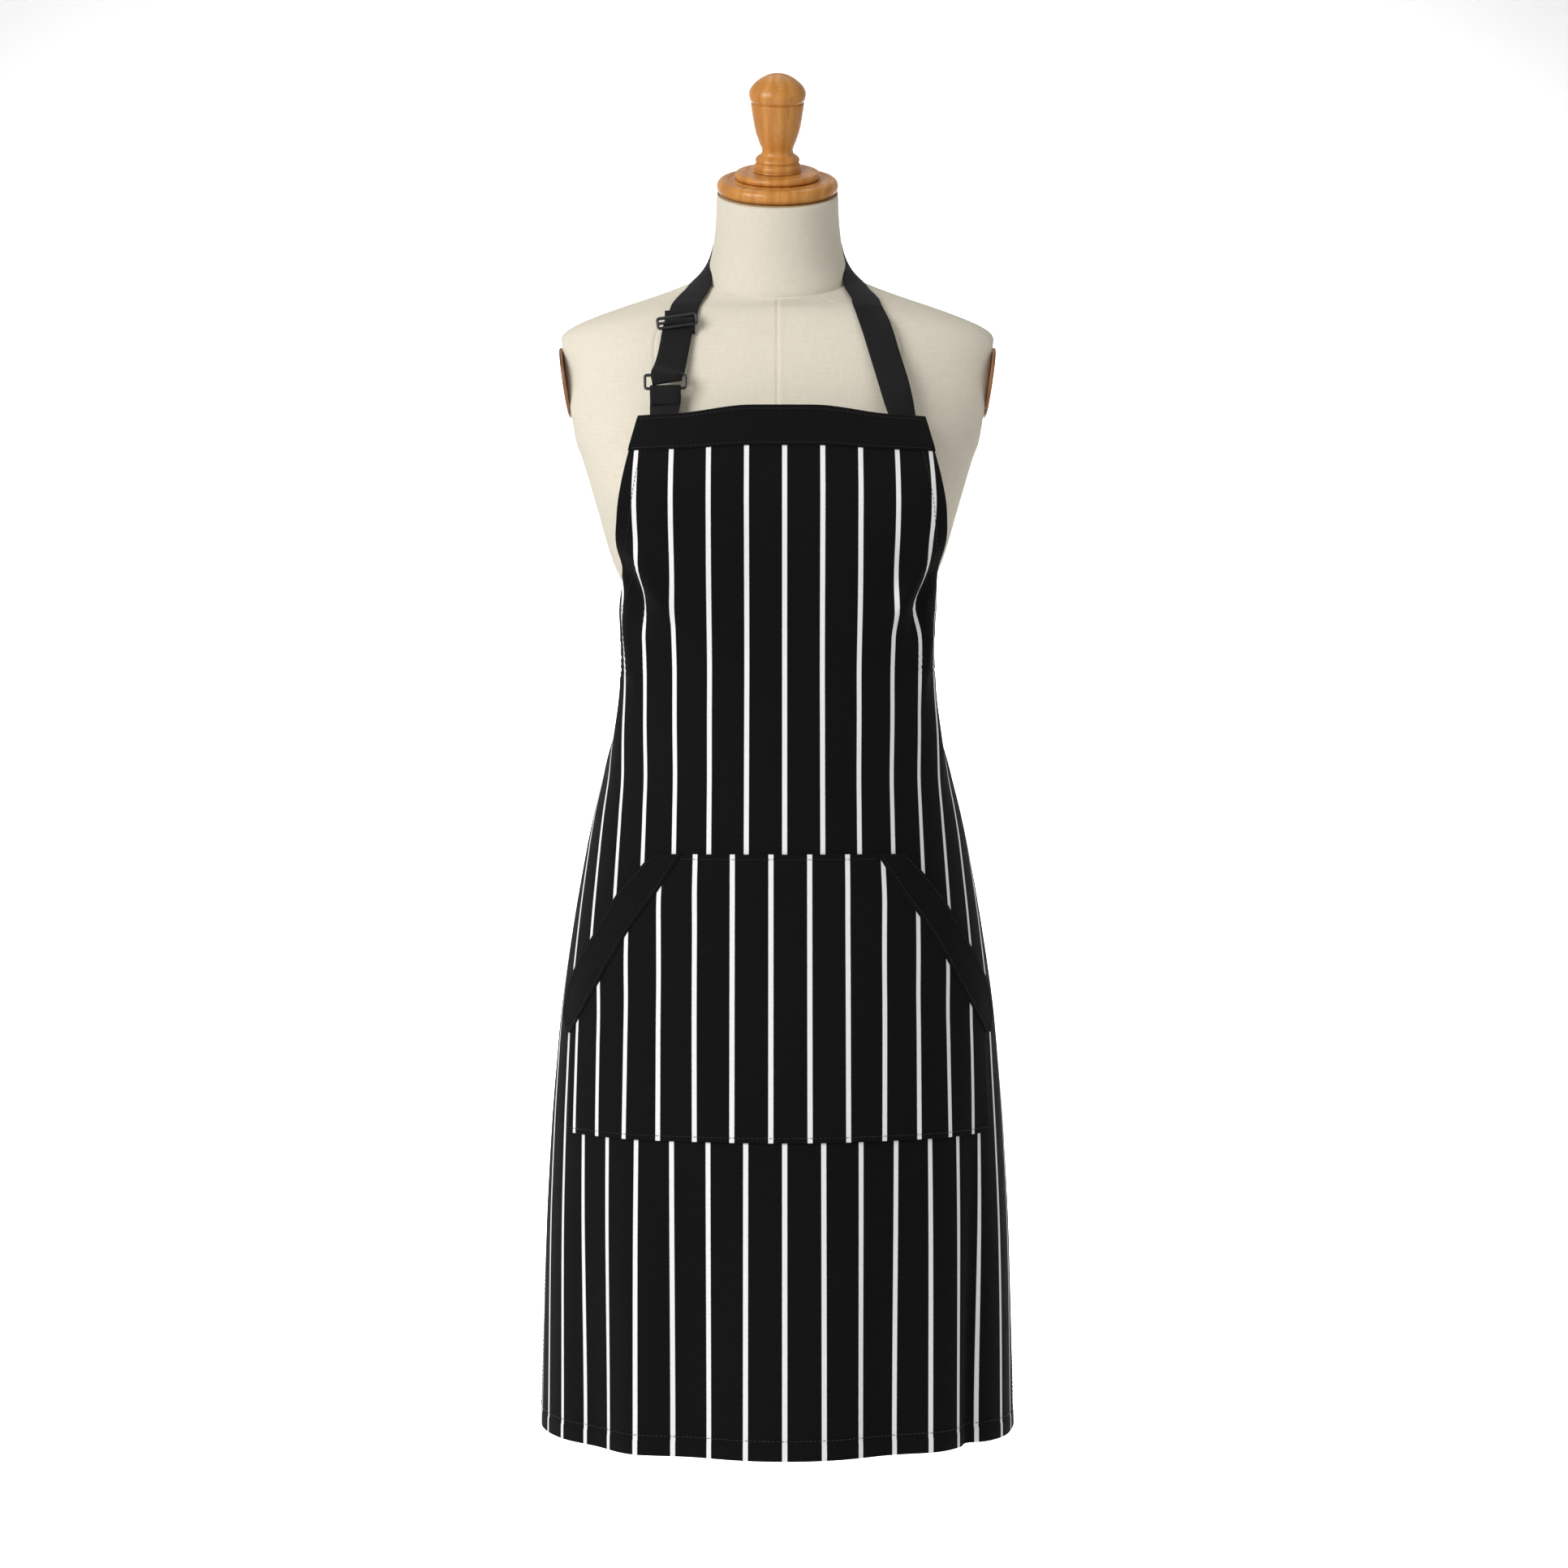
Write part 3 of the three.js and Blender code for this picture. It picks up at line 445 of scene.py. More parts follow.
def black_cloth(name, stripe_start=None):
    f = Finish(name, 0.9, Sheen_Weight=0.02, Sheen_Roughness=0.45, Specular_IOR_Level=0.12)
    way = f.flat_way()
    weave = use(f.tree, TWILL_WEAVE, Vector=way, Pitch=0.0009)
    worn = remap(f.tree, f.noise(f.solid_way(), 7.0), 0.3, 0.75, 0.0, 1.0)
    tone = mix(f.tree, worn, srgb(8, 8, 9), srgb(12, 12, 13))
    tone = mix(f.tree, remap(f.tree, weave["Fuzz"], 0.45, 0.8, 0.0, 0.6), tone, srgb(24, 24, 25))
    if stripe_start is not None:
        mask = use(f.tree, PINSTRIPE, Vector=way, Start=stripe_start * MM, Every=STRIPE["every"] * MM,
                   Wide=STRIPE["wide"] * MM)["Mask"]
        # painted shade: the white stripe is painted darker in the weave's hollows and lighter on its crests,
        # following the weave's relief height
        share = remap(f.tree, weave["Height"], 0.3, 1.2, 0.0, 1.0)
        stripe_white_painted_shade = mix(f.tree, share, srgb(232, 231, 229), srgb(252, 251, 249))
        tone = mix(f.tree, mask, tone, stripe_white_painted_shade)
    f.colour(tone)
    f.relief(weave["Height"], 0.00018, 0.55)
    return f.material


def webbing_finish():
    f = Finish("Black webbing", 0.75, Sheen_Weight=0.03, Specular_IOR_Level=0.25)
    axes = add(f.tree, "SeparateXYZ", {0: f.flat_way()}).outputs
    ribs = calc(f.tree, "SINE", calc(f.tree, "MULTIPLY", axes["Y"], 2 * math.pi / 0.0017))
    ends = calc(f.tree, "SINE", calc(f.tree, "MULTIPLY", axes["X"], 2 * math.pi / 0.0021))
    height = calc(f.tree, "MULTIPLY_ADD", calc(f.tree, "MULTIPLY", ribs, ends), 0.35,
                  calc(f.tree, "MULTIPLY_ADD", ribs, 0.3, 0.5))
    # painted shade: the webbing is painted darker in the grooves between its ribs and lighter on their
    # crests; the same height also drives the relief
    f.colour(mix(f.tree, height, srgb(8, 8, 9), srgb(20, 20, 21)))
    f.relief(height, 0.0003, 0.8)
    return f.material


def varnished_wood(name, lean, light, dark):
    f = Finish(name, 0.38, Coat_Weight=0.25, Coat_Roughness=0.22, Specular_IOR_Level=0.35)
    grain = use(f.tree, WOOD_GRAIN, Vector=f.solid_way(lean), Scale=1.0)
    tone = mix(f.tree, remap(f.tree, grain["Grain"], 0.25, 0.8, 0.0, 1.0), light, dark)
    tone = mix(f.tree, calc(f.tree, "MULTIPLY", grain["Pores"], 0.35), tone, srgb(120, 70, 30))
    f.colour(tone)
    f.rough(remap(f.tree, grain["Grain"], 0.2, 0.9, 0.32, 0.42))
    f.relief(grain["Pores"], -0.00012, 0.4)
    return f.material


def plywood_finish():
    f = Finish("Sanded plywood", 0.7)
    way = f.solid_way()
    turned = add(f.tree, "Mapping", {"Vector": way, "Rotation": (math.pi / 2, 0, 0)}).outputs[0]
    grain = use(f.tree, WOOD_GRAIN, Vector=turned, Scale=0.8)
    height = add(f.tree, "SeparateXYZ", {0: way}).outputs["Z"]
    ply = calc(f.tree, "SINE", calc(f.tree, "MULTIPLY", height, 2100.0))
    tone = mix(f.tree, grain["Grain"], srgb(214, 180, 132), srgb(178, 138, 88))
    f.colour(mix(f.tree, remap(f.tree, ply, -1.0, 1.0, 0.0, 0.25), tone, srgb(146, 106, 62)))
    f.relief(grain["Grain"], 0.0002, 0.4)
    return f.material


def zinc_finish():
    f = Finish("Zinc plate", 0.35, Metallic=1.0)
    way = f.solid_way()
    spangle = f.noise(way, 90.0, 4.0)
    f.colour(mix(f.tree, spangle, srgb(150, 152, 156), srgb(196, 197, 200)))
    f.rough(remap(f.tree, f.noise(way, 260.0), 0.3, 0.7, 0.25, 0.45))
    f.relief(spangle, 0.00006, 0.5)
    return f.material


def buckle_finish():
    f = Finish("Black buckle plastic", 0.3, Specular_IOR_Level=0.6)
    way = f.solid_way()
    grain = f.noise(way, 1500.0, 2.0)
    f.colour(mix(f.tree, f.noise(way, 60.0), srgb(24, 24, 25), srgb(36, 36, 38)))
    f.rough(remap(f.tree, grain, 0.3, 0.7, 0.24, 0.38))
    f.relief(grain, 0.00005, 0.4)
    return f.material


def fibre_finish():
    f = Finish("Pressed fibre", 0.85)
    way = f.solid_way()
    flecks = f.noise(way, 320.0, 4.0)
    f.colour(mix(f.tree, flecks, srgb(176, 150, 108), srgb(206, 182, 140)))
    f.relief(flecks, 0.0004, 0.6)
    return f.material


def thread_finish(name, dark, light):
    f = Finish(name, 0.75, Sheen_Weight=0.2)
    f.colour(mix(f.tree, f.noise(f.solid_way(), 900.0), dark, light))
    return f.material


def studio_finish():
    f = Finish("Pale studio paper", 0.95, Specular_IOR_Level=0.1)
    f.colour(mix(f.tree, f.noise(f.solid_way(), 3.0), (0.9, 0.9, 0.9, 1), (0.92, 0.92, 0.92, 1)))
    return f.material


LINEN = linen_finish()
BODY_CLOTH = black_cloth("Pinstripe twill", STRIPE["body"])
POCKET_CLOTH = black_cloth("Pinstripe twill, pocket", STRIPE["pocket"])
PLAIN_CLOTH = black_cloth("Plain black twill")
WEBBING = webbing_finish()
TURNED_WOOD = varnished_wood("Turned honey wood", -math.radians(23), srgb(206, 142, 66), srgb(190, 124, 52))
# painted shade: the arm plates use the turned wood's finish in a darker brown, standing in for the shade the
# plates sit in
PLATE_WOOD_SHADED = varnished_wood("Arm plate wood, painted shade", 0.0, srgb(150, 102, 62), srgb(120, 78, 44))
PLYWOOD, ZINC, BUCKLE, FIBRE = plywood_finish(), zinc_finish(), buckle_finish(), fibre_finish()
BLACK_THREAD = thread_finish("Black thread", srgb(10, 10, 11), srgb(26, 26, 27))


# ---- the form's surface ----
def torso_points(z, angle, off=0.0):
    """Points of the torso at ring height z and angle in degrees; angle 0 is +X and 90 the back."""
    z, angle = np.broadcast_arrays(np.asarray(z, float), np.asarray(angle, float))
    flat = np.maximum(rows_at(TORSO, z.ravel()), straight_rows(TORSO, z.ravel()) - 0.2).T.reshape(7, *z.shape)
    _, wide, front, back, square, slope, shift = flat
    a = np.radians(angle)
    s, c = np.sin(a), np.cos(a)
    x = wide * np.sign(c) * np.abs(c) ** (2 / square)
    y = np.sign(s) * np.abs(s) ** (2 / square) * np.where(s < 0, front, back)
    points = np.stack([x, y + shift, z + slope * y], axis=-1)
    if np.any(off):
        points = points + torso_normals(z, angle) * np.asarray(off)[..., None]
    return points


def torso_normals(z, angle, reach=1.0):
    low, high = np.clip(z - reach, TORSO[0][0], None), np.clip(z + reach, None, TORSO[-1][0])
    up = torso_points(high, angle) - torso_points(low, angle)
    side = torso_points(z, np.asarray(angle) + 1.0) - torso_points(z, np.asarray(angle) - 1.0)
    n = np.cross(side, up)
    return n / np.maximum(np.linalg.norm(n, axis=-1, keepdims=True), 1e-9)


# Seams run down the form at these angles, with their depth in mm.
SEAMS = {-90: 0.4, 90: 0.7, 0: 0.6, 180: 0.6, -57: 0.35, -123: 0.35, 55: 0.5, 125: 0.5}
NECK_SEAM = 682


def seam_angles():
    near = [k * s for k in (0, 0.3, 0.6, 1.0, 1.6) for s in (-1, 1)]
    return np.array(sorted({round((a + d) % 360, 3) for a in list(SEAMS) for d in near}
                           | {round(a % 360, 3) for a in np.arange(0, 360, 2.5)}))


def linen_cover():
    angle = seam_angles()
    at_seam = [NECK_SEAM + k for k in (-1.2, -0.5, 0, 0.5, 1.2)]
    z = np.array(steps(TORSO[0][0], TORSO[-1][0], 4.0, at_seam))
    zz, aa = np.meshgrid(z, angle, indexing="ij")
    wide = rows_at(TORSO, z)[:, 1][:, None]
    lift = np.full(zz.shape, -0.3)
    for seam, deep in SEAMS.items():
        away = np.radians((aa - seam + 180) % 360 - 180) * wide * 0.8
        neck = 1 if seam == 90 else 1 - smooth(NECK_SEAM - 4, NECK_SEAM, zz)
        ridge = 0.25 * np.exp(-(((np.abs(away) - 2.4) / 1.3) ** 2))
        lift -= neck * (deep * np.exp(-((away / 0.9) ** 2)) - ridge)
    from_seam = zz - NECK_SEAM
    ridge = 0.3 * np.exp(-(((np.abs(from_seam) - 2.6) / 1.4) ** 2))
    lift -= 0.6 * np.exp(-((from_seam / 0.9) ** 2)) - ridge
    points = torso_points(zz, aa, lift)
    limit = ARM["x"] + 0.25 + np.tan(ARM["lean"]) * (points[..., 2] - ARM["z"])
    limit = np.where(points[..., 2] > ARM["z"] - 80, limit, 999)
    points[..., 0] = np.clip(points[..., 0], -limit, limit)
    around = np.radians(aa) * 130
    uv = np.stack([around, zz], axis=-1)
    piece = make("form_linen", points.reshape(-1, 3), grid_faces(len(z), len(angle), closed=True), LINEN,
                 uv.reshape(-1, 2))
    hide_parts("linen_cover")
    thicken(piece, 1.1, -1)
    return piece


def base_tape():
    """A sewn linen band round the form's lower edge."""
    angle = np.arange(0, 360, 2.0)
    rows = [(36.2, -0.2), (36.4, 0.5), (37.5, 0.8), (49, 0.8), (50.2, 0.6), (50.5, -0.3)]
    level = np.ones_like(angle)
    points = np.array([torso_points(level * z, angle, level * off) for z, off in rows])
    uv = np.array([np.stack([angle * 2.3, np.full_like(angle, z)], axis=-1) for z, _ in rows])
    faces = grid_faces(len(rows), len(angle), closed=True)
    return make("form_base_tape", points.reshape(-1, 3), faces, LINEN, uv.reshape(-1, 2))


# ---- wooden fittings of the form ----
CAP_LOW, CAP_HIGH, FINIAL_LONG = (51.5, 12), (36, 6), 82


def neck_cap():
    r, t = CAP_LOW
    low = [(4.5, 0.3), (r - 5, 0.3), (r - 2, 1.2), (r - 0.4, 3.6), (r, 6.2), (r - 0.5, 9), (r - 2.4, 11.2),
           (r - 5, t + 0.2), (r - 9, t + 0.3), (r - 10, t - 0.3), (38, t - 0.3), (37, t + 0.3),
           (4.5, t + 0.3), (4.5, 0.3)]
    r2, t2 = CAP_HIGH
    base = t + 0.6
    top = base + t2
    high = [(4.5, base), (r2 - 1.4, base), (r2, base + 1.6), (r2, top - 2.2), (r2 - 1.2, top - 0.5),
            (r2 - 3, top), (4.5, top), (4.5, base)]
    for name, profile in (("neck_cap_lower", low), ("neck_cap_upper", high)):
        verts, faces = lathe(rounded(profile, 1.6), 96, NECK_TOP, NECK_AXIS)
        piece = make("turned_" + name, verts, faces, TURNED_WOOD)
        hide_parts(name)


FINIAL_PROFILE = [
    (4.4, 0), (18.8, 0), (19.7, 1.0), (20, 2.8), (19.7, 4.8), (18.7, 6.2), (18, 7.1), (18.3, 8.1),
    (18.7, 9.5), (18.1, 11.1), (16.4, 12.8), (14.4, 14.2), (13.4, 15.8), (13.2, 17.6), (13.9, 20.2),
    (15.4, 23.9), (16.9, 28.2), (18.3, 32.4), (19.3, 36.6), (20.1, 40.8), (20.8, 45), (21.5, 49.3),
    (22.1, 53.5), (22.4, 56.4), (22.2, 57.2), (21.4, 57.7), (21.4, 58.3), (22.3, 58.9), (23.1, 60.4),
    (23.7, 62.8), (23.9, 65.4), (23.3, 68), (21.5, 71), (18.2, 74.5), (12.9, 78.4), (6.6, 81.1),
    (0.3, FINIAL_LONG),
]


def smooth_profile(profile, cuts=4):
    """The profile with a smooth curve through its points."""
    p = np.array([profile[0], *profile, profile[-1]], float)
    out = []
    for k in range(1, len(p) - 2):
        a, b, c, d = p[k - 1:k + 3]
        for i in range(cuts):
            t = i / cuts
            out.append(tuple(0.5 * (2 * b + (c - a) * t + (2 * a - 5 * b + 4 * c - d) * t * t
                                    + (3 * b - a - 3 * c + d) * t**3)))
    return out + [tuple(p[-1])]


def finial():
    start = CAP_LOW[1] + CAP_HIGH[1] + 0.9
    profile = [(max(r, 0.2), h + start) for r, h in smooth_profile(FINIAL_PROFILE)]
    verts, faces = lathe([(4.4, start + 20), *profile], 72, NECK_TOP, NECK_AXIS)
    piece = make("turned_finial", verts, faces, TURNED_WOOD, body="finial")
    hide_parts("finial")


def arm_plates():
    deep, tall, thick = ARM["deep"], ARM["tall"], ARM["thick"]
    rows = [(0.4, 0.97), (0.3, 0.995), (0.8, 1.0), (thick - 0.7, 1.0), (thick - 0.1, 0.98),
            (thick + 0.2, 0.95), (thick + 0.2, 0.89), (thick - 0.2, 0.87), (thick - 0.2, 0.85),
            (thick + 0.1, 0.83), (thick + 0.25, 0.6), (thick + 0.3, 0.3), (thick + 0.3, 0.02)]
    sides = 72
    for side, name in ((1, "arm_plate_right"), (-1, "arm_plate_left")):
        turn = Matrix.Rotation(side * ARM["lean"], 3, "Y")
        verts = []
        for out, share in rows:
            for k in range(sides):
                a = 2 * math.pi * k / sides * side
                p = turn @ Vector((side * out, deep * share * math.cos(a), tall * share * math.sin(a)))
                verts.append(tuple(p + Vector((side * ARM["x"], 0, ARM["z"]))))
        faces = grid_faces(len(rows), sides, closed=True)
        piece = make("turned_" + name, verts, faces, PLATE_WOOD_SHADED)
        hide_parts(name)


def metal_fittings():
    screws = [f"flange_screw_{i}" for i in (1, 2, 3, 4)]
    for node in ("pole_socket", "spine_tube", "clamp_screw", "finial_stud", *screws):
        give(node, ZINC)
    give("base_board", PLYWOOD)
    give("torso_shell", FIBRE)


def give(node, material):
    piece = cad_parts[node]
    piece.data.materials.clear()
    piece.data.materials.append(material)


# ---- apron ----
def edge(table, middle, side, inset=0.0):
    return lambda z: middle + side * (float(width_at(table, z)) - inset)


def hem_rise(u, z):
    """The doubled cloth of the hems, in mm."""
    side = width_at(OUTLINE, z) - np.abs(u - CLOTH_MIDDLE)
    low = z - HEM
    return 0.45 * (1 - smooth(11, 13, np.minimum(side, low)))


def apron_body():
    hem, waist = (HEM + 1, HEM + 11, HEM + 13, HEM + 17), (341, 345, 350, 355, 360, 368, 376)
    z = steps(HEM, BIB_TOP, 5.0, (*hem, *waist, BAND_LOW))
    left, right = (edge(OUTLINE, CLOTH_MIDDLE, side) for side in (-1, 1))
    grid, flat = cloth_grid(z, left, right, 190, hem_rise)
    piece = sheet_piece("apron_cloth", grid, flat, BODY_CLOTH, 0.9)
    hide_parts("apron_body")
    return piece


def bib_band():
    z = steps(BAND_LOW, BIB_TOP, 4.0, (BAND_LOW + 0.8, BIB_TOP - 0.8))

    def rise(u, z_here):
        crease = 0.5 * np.exp(-(((u - 5) / 1.6) ** 2))
        return 1.5 + crease - 0.7 * (1 - smooth(0, 1.4, min(z_here - BAND_LOW, BIB_TOP - z_here)))

    left, right = (edge(OUTLINE, CLOTH_MIDDLE, side, -0.4) for side in (-1, 1))
    grid, flat = cloth_grid(z, left, right, 150, rise)
    piece = sheet_piece("bib_band", grid, flat, PLAIN_CLOTH, 1.1)
    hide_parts("bib_facing")
    return piece


def pocket_stand(u, z):
    """How far the pocket stands off the body: flat at its sewn edges, loose along its curved openings."""
    side = width_at(POCKET_EDGE, z) - np.abs(u - POCKET_MIDDLE)
    loose = smooth(50, 110, z) * (1 - smooth(150, 194, z)) * (1 - smooth(0, 70, side))
    return 1.8 + 2.4 * loose


def pocket():
    z = steps(POCKET_LOW, POCKET_TOP, 5.0, (POCKET_LOW + 1, 45, 52, 60, POCKET_TOP - 1))
    left, right = (edge(POCKET_EDGE, POCKET_MIDDLE, side) for side in (-1, 1))
    grid, flat = cloth_grid(z, left, right, 150, pocket_stand)
    piece = sheet_piece("pocket_cloth", grid, flat, POCKET_CLOTH, 0.9)
    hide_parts("pocket_panel")
    return piece


def pocket_bands():
    made = []
    for side, label in ((1, "right"), (-1, "left")):
        z = steps(45, POCKET_TOP, 4.0)
        inner, outer = edge(POCKET_EDGE, POCKET_MIDDLE, side, 1.2), edge(BINDING_EDGE, POCKET_MIDDLE, side)
        left, right = (inner, outer) if side > 0 else (outer, inner)

        def rise(u, z_here, side=side, outer=outer):
            rim = np.abs(outer(z_here) - u)
            return pocket_stand(u, z_here) + 0.9 + 0.5 * np.exp(-((rim / 1.5) ** 2))

        grid, flat = cloth_grid(z, left, right, 14, rise)
        piece = sheet_piece("pocket_band_" + label, grid, flat, PLAIN_CLOTH, 1.2)
        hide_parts("pocket_binding_" + label)
        made.append(piece)
    return made


# ---- stitches ----
ROWS = {}


def row_at(z):
    """The cloth's row at a height, kept for the next stitch there."""
    z = round(z, 1)
    if z not in ROWS:
        ROWS[z] = Row(z)
    return ROWS[z]


def stitch_run(path, lift, long=2.7, gap=0.9, thick=0.27):
    """Stitches along a path of (u, z), each a small spindle lying on the cloth."""
    path = np.array(path, float)
    along = np.concatenate([[0], np.cumsum(np.linalg.norm(np.diff(path, axis=0), axis=1))])
    count = int(along[-1] / (long + gap))
    parts = []
    for k in range(count):
        ends = []
        for s in (k * (long + gap), k * (long + gap) + long):
            u, z = (float(np.interp(s, along, path[:, c])) for c in (0, 1))
            off = lift(u, z) if callable(lift) else lift
            ends.append(Vector(row_at(z).points([u], off)[0]))
        parts.append(spindle(*ends, thick))
    return parts


def spindle(a, b, thick):
    """A thread's lump from a to b, pointed at both ends."""
    along = (b - a).normalized()
    out = along.orthogonal().normalized()
    side = along.cross(out)
    ring = [out, side, -out, -side]
    verts = [a] + [a.lerp(b, f) + r * thick for f in (0.2, 0.8) for r in ring] + [b]
    faces = [(0, 1 + (k + 1) % 4, 1 + k) for k in range(4)]
    faces += [(1 + k, 1 + (k + 1) % 4, 5 + (k + 1) % 4, 5 + k) for k in range(4)]
    faces += [(9, 5 + k, 5 + (k + 1) % 4) for k in range(4)]
    return [tuple(v) for v in verts], faces


def apron_stitching():
    parts = []
    inset = 12.0
    left, right = CLOTH_MIDDLE - 305, CLOTH_MIDDLE + 305
    parts += stitch_run([(left + inset, HEM + 16), (right - inset, HEM + 16)], 1.0)
    for side in (-1, 1):
        rim = [(CLOTH_MIDDLE + side * (w - inset), z) for z, w in OUTLINE]
        parts += stitch_run([(rim[0][0], HEM + 16), *rim[1:-1], (rim[-1][0], BAND_LOW)], 1.0)
        mouth = [(POCKET_MIDDLE + side * (w + 2.2), z) for z, w in POCKET_EDGE[1:]]
        parts += stitch_run(mouth, lambda u, z: pocket_stand(u, z) + 2.0)
        lip = [(POCKET_MIDDLE + side * (w - 3), z) for z, w in BINDING_EDGE]
        parts += stitch_run(lip, lambda u, z: pocket_stand(u, z) + 2.0)
        seam_u = POCKET_MIDDLE + side * 202
        parts += stitch_run([(seam_u, POCKET_LOW + 3), (seam_u, 44)], 2.6)
    parts += stitch_run([(POCKET_MIDDLE - 203, POCKET_LOW + 4), (POCKET_MIDDLE + 203, POCKET_LOW + 4)], 2.6)
    parts += stitch_run([(POCKET_MIDDLE - 82, POCKET_TOP - 4), (POCKET_MIDDLE + 82, POCKET_TOP - 4)], 2.6)
    for z in (BAND_LOW + 2.5, BIB_TOP - 3):
        half = float(width_at(OUTLINE, z)) - 3
        parts += stitch_run([(CLOTH_MIDDLE - half, z), (CLOTH_MIDDLE + half, z)], 2.3)
    verts, faces = merged(parts)
    return make("apron_stitching", verts, faces, BLACK_THREAD)


# ---- webbing ----
def curve_through(points, count):
    """Evenly spaced points on a smooth curve through the given ones."""
    p = np.array(points, float)
    p = np.vstack([2 * p[0] - p[1], p, 2 * p[-1] - p[-2]])
    fine = []
    for k in range(1, len(p) - 2):
        a, b, c, d = p[k - 1:k + 3]
        t = np.linspace(0, 1, 24, endpoint=False)[:, None]
        square, cube = 2 * a - 5 * b + 4 * c - d, 3 * b - a - 3 * c + d
        fine.append(0.5 * (2 * b + (c - a) * t + square * t**2 + cube * t**3))
    fine = np.vstack([*fine, p[-2:-1]])
    along = np.concatenate([[0], np.cumsum(np.linalg.norm(np.diff(fine[:, :3], axis=0), axis=1))])
    at = np.linspace(0, along[-1], count)
    return np.stack([np.interp(at, along, fine[:, c]) for c in range(p.shape[1])], axis=1), at


WEB_WIDE, WEB_THICK = 25.0, 1.5


def web_section(wide, thick):
    """The strap's section, a flat oval with firm edges: (across, out)."""
    half, t = wide / 2, thick / 2
    side = [(half - 0.5, t), (half - 0.1, t * 0.55), (half, 0), (half - 0.1, -t * 0.55), (half - 0.5, -t)]
    top = [(-half + 0.5 + (wide - 1) * k / 8, t) for k in range(1, 8)]
    bottom = [(half - 0.5 - (wide - 1) * k / 8, -t) for k in range(1, 8)]
    return top + side + bottom + [(-x, y) for x, y in reversed(side)]


def web(name, stations, count=120, wide=WEB_WIDE, thick=WEB_THICK, body="form"):
    """A strap through stations of six numbers, a place and the way out of the surface under it."""
    line, at = curve_through(stations, count)
    place, out = line[:, :3], line[:, 3:]
    along = np.gradient(place, axis=0)
    along /= np.linalg.norm(along, axis=1, keepdims=True)
    out = out - (out * along).sum(1, keepdims=True) * along
    out /= np.linalg.norm(out, axis=1, keepdims=True)
    across = np.cross(along, out)
    section = web_section(wide, thick)
    verts = np.array([place + across * x + out * y for x, y in section]).transpose(1, 0, 2)
    n = len(section)
    faces = grid_faces(count, n, closed=True)
    faces += [tuple(range(n)), tuple((count - 1) * n + k for k in reversed(range(n)))]
    uv = np.array([[(x, s) for x, _ in section] for s in at]).reshape(-1, 2)
    return make(name, verts.reshape(-1, 3), faces, WEBBING, uv, body=body)


def on_torso(stops, lift, wide_view=9.0):
    """Stations on the linen from stops of (ring height, angle)."""
    stops = np.array(stops, float)
    place = torso_points(stops[:, 0], stops[:, 1])
    out = torso_normals(stops[:, 0], stops[:, 1], wide_view)
    return [tuple(p + n * h) + tuple(n) for p, n, h in zip(place, out, np.broadcast_to(lift, len(stops)))]


def behind_cloth(u, z, tuck=2.6):
    row = Row(z)
    p, q = row.points([u], -tuck)[0], row.points([u], 0.0)[0]
    n = (q - p) / np.linalg.norm(q - p)
    return tuple(p) + tuple(n)


RING = {"place": Vector((-92.5, -83.5, 583)), "wide": 36, "tall": 14, "lean": 1, "bar": 2.4, "bars": 1}
SLIDER = {"place": Vector((-83.5, -60.5, 636)), "wide": 35, "tall": 11, "lean": 8, "bar": 2.4, "bars": 2}
BACKWARD = 0.2  # the buckles' tops lean back with the chest, in radians


def buckle_frame(spec):
    sideways = Matrix.Rotation(math.radians(-spec["lean"]), 3, "Y")
    turn = sideways @ Matrix.Rotation(math.pi / 2 - BACKWARD, 3, "X")
    return turn, spec["place"]


def at_buckle(spec, across, up, out):
    turn, place = buckle_frame(spec)
    return tuple(place + turn @ Vector((across, up, out))) + tuple(turn @ Vector((0, 0, 1)))


def round_bar(a, b, radius, sides=12, rings=6):
    """A bar with round ends from a to b."""
    a, b = Vector(a), Vector(b)
    axis = (b - a).normalized()
    out = axis.orthogonal().normalized()
    side = axis.cross(out)
    verts = []
    stack = [(a, -math.cos(t), math.sin(t)) for t in np.linspace(0.15, math.pi / 2, rings)]
    stack += [(b, math.cos(t), math.sin(t)) for t in np.linspace(math.pi / 2, 0.15, rings)]
    for end, push, wide in stack:
        for k in range(sides):
            angle = 2 * math.pi * k / sides
            around = out * math.cos(angle) + side * math.sin(angle)
            verts.append(tuple(end + axis * push * radius + around * radius * wide))
    faces = grid_faces(len(stack), sides, closed=True)
    faces += [tuple(reversed(range(sides))), tuple(len(verts) - sides + k for k in range(sides))]
    return verts, faces


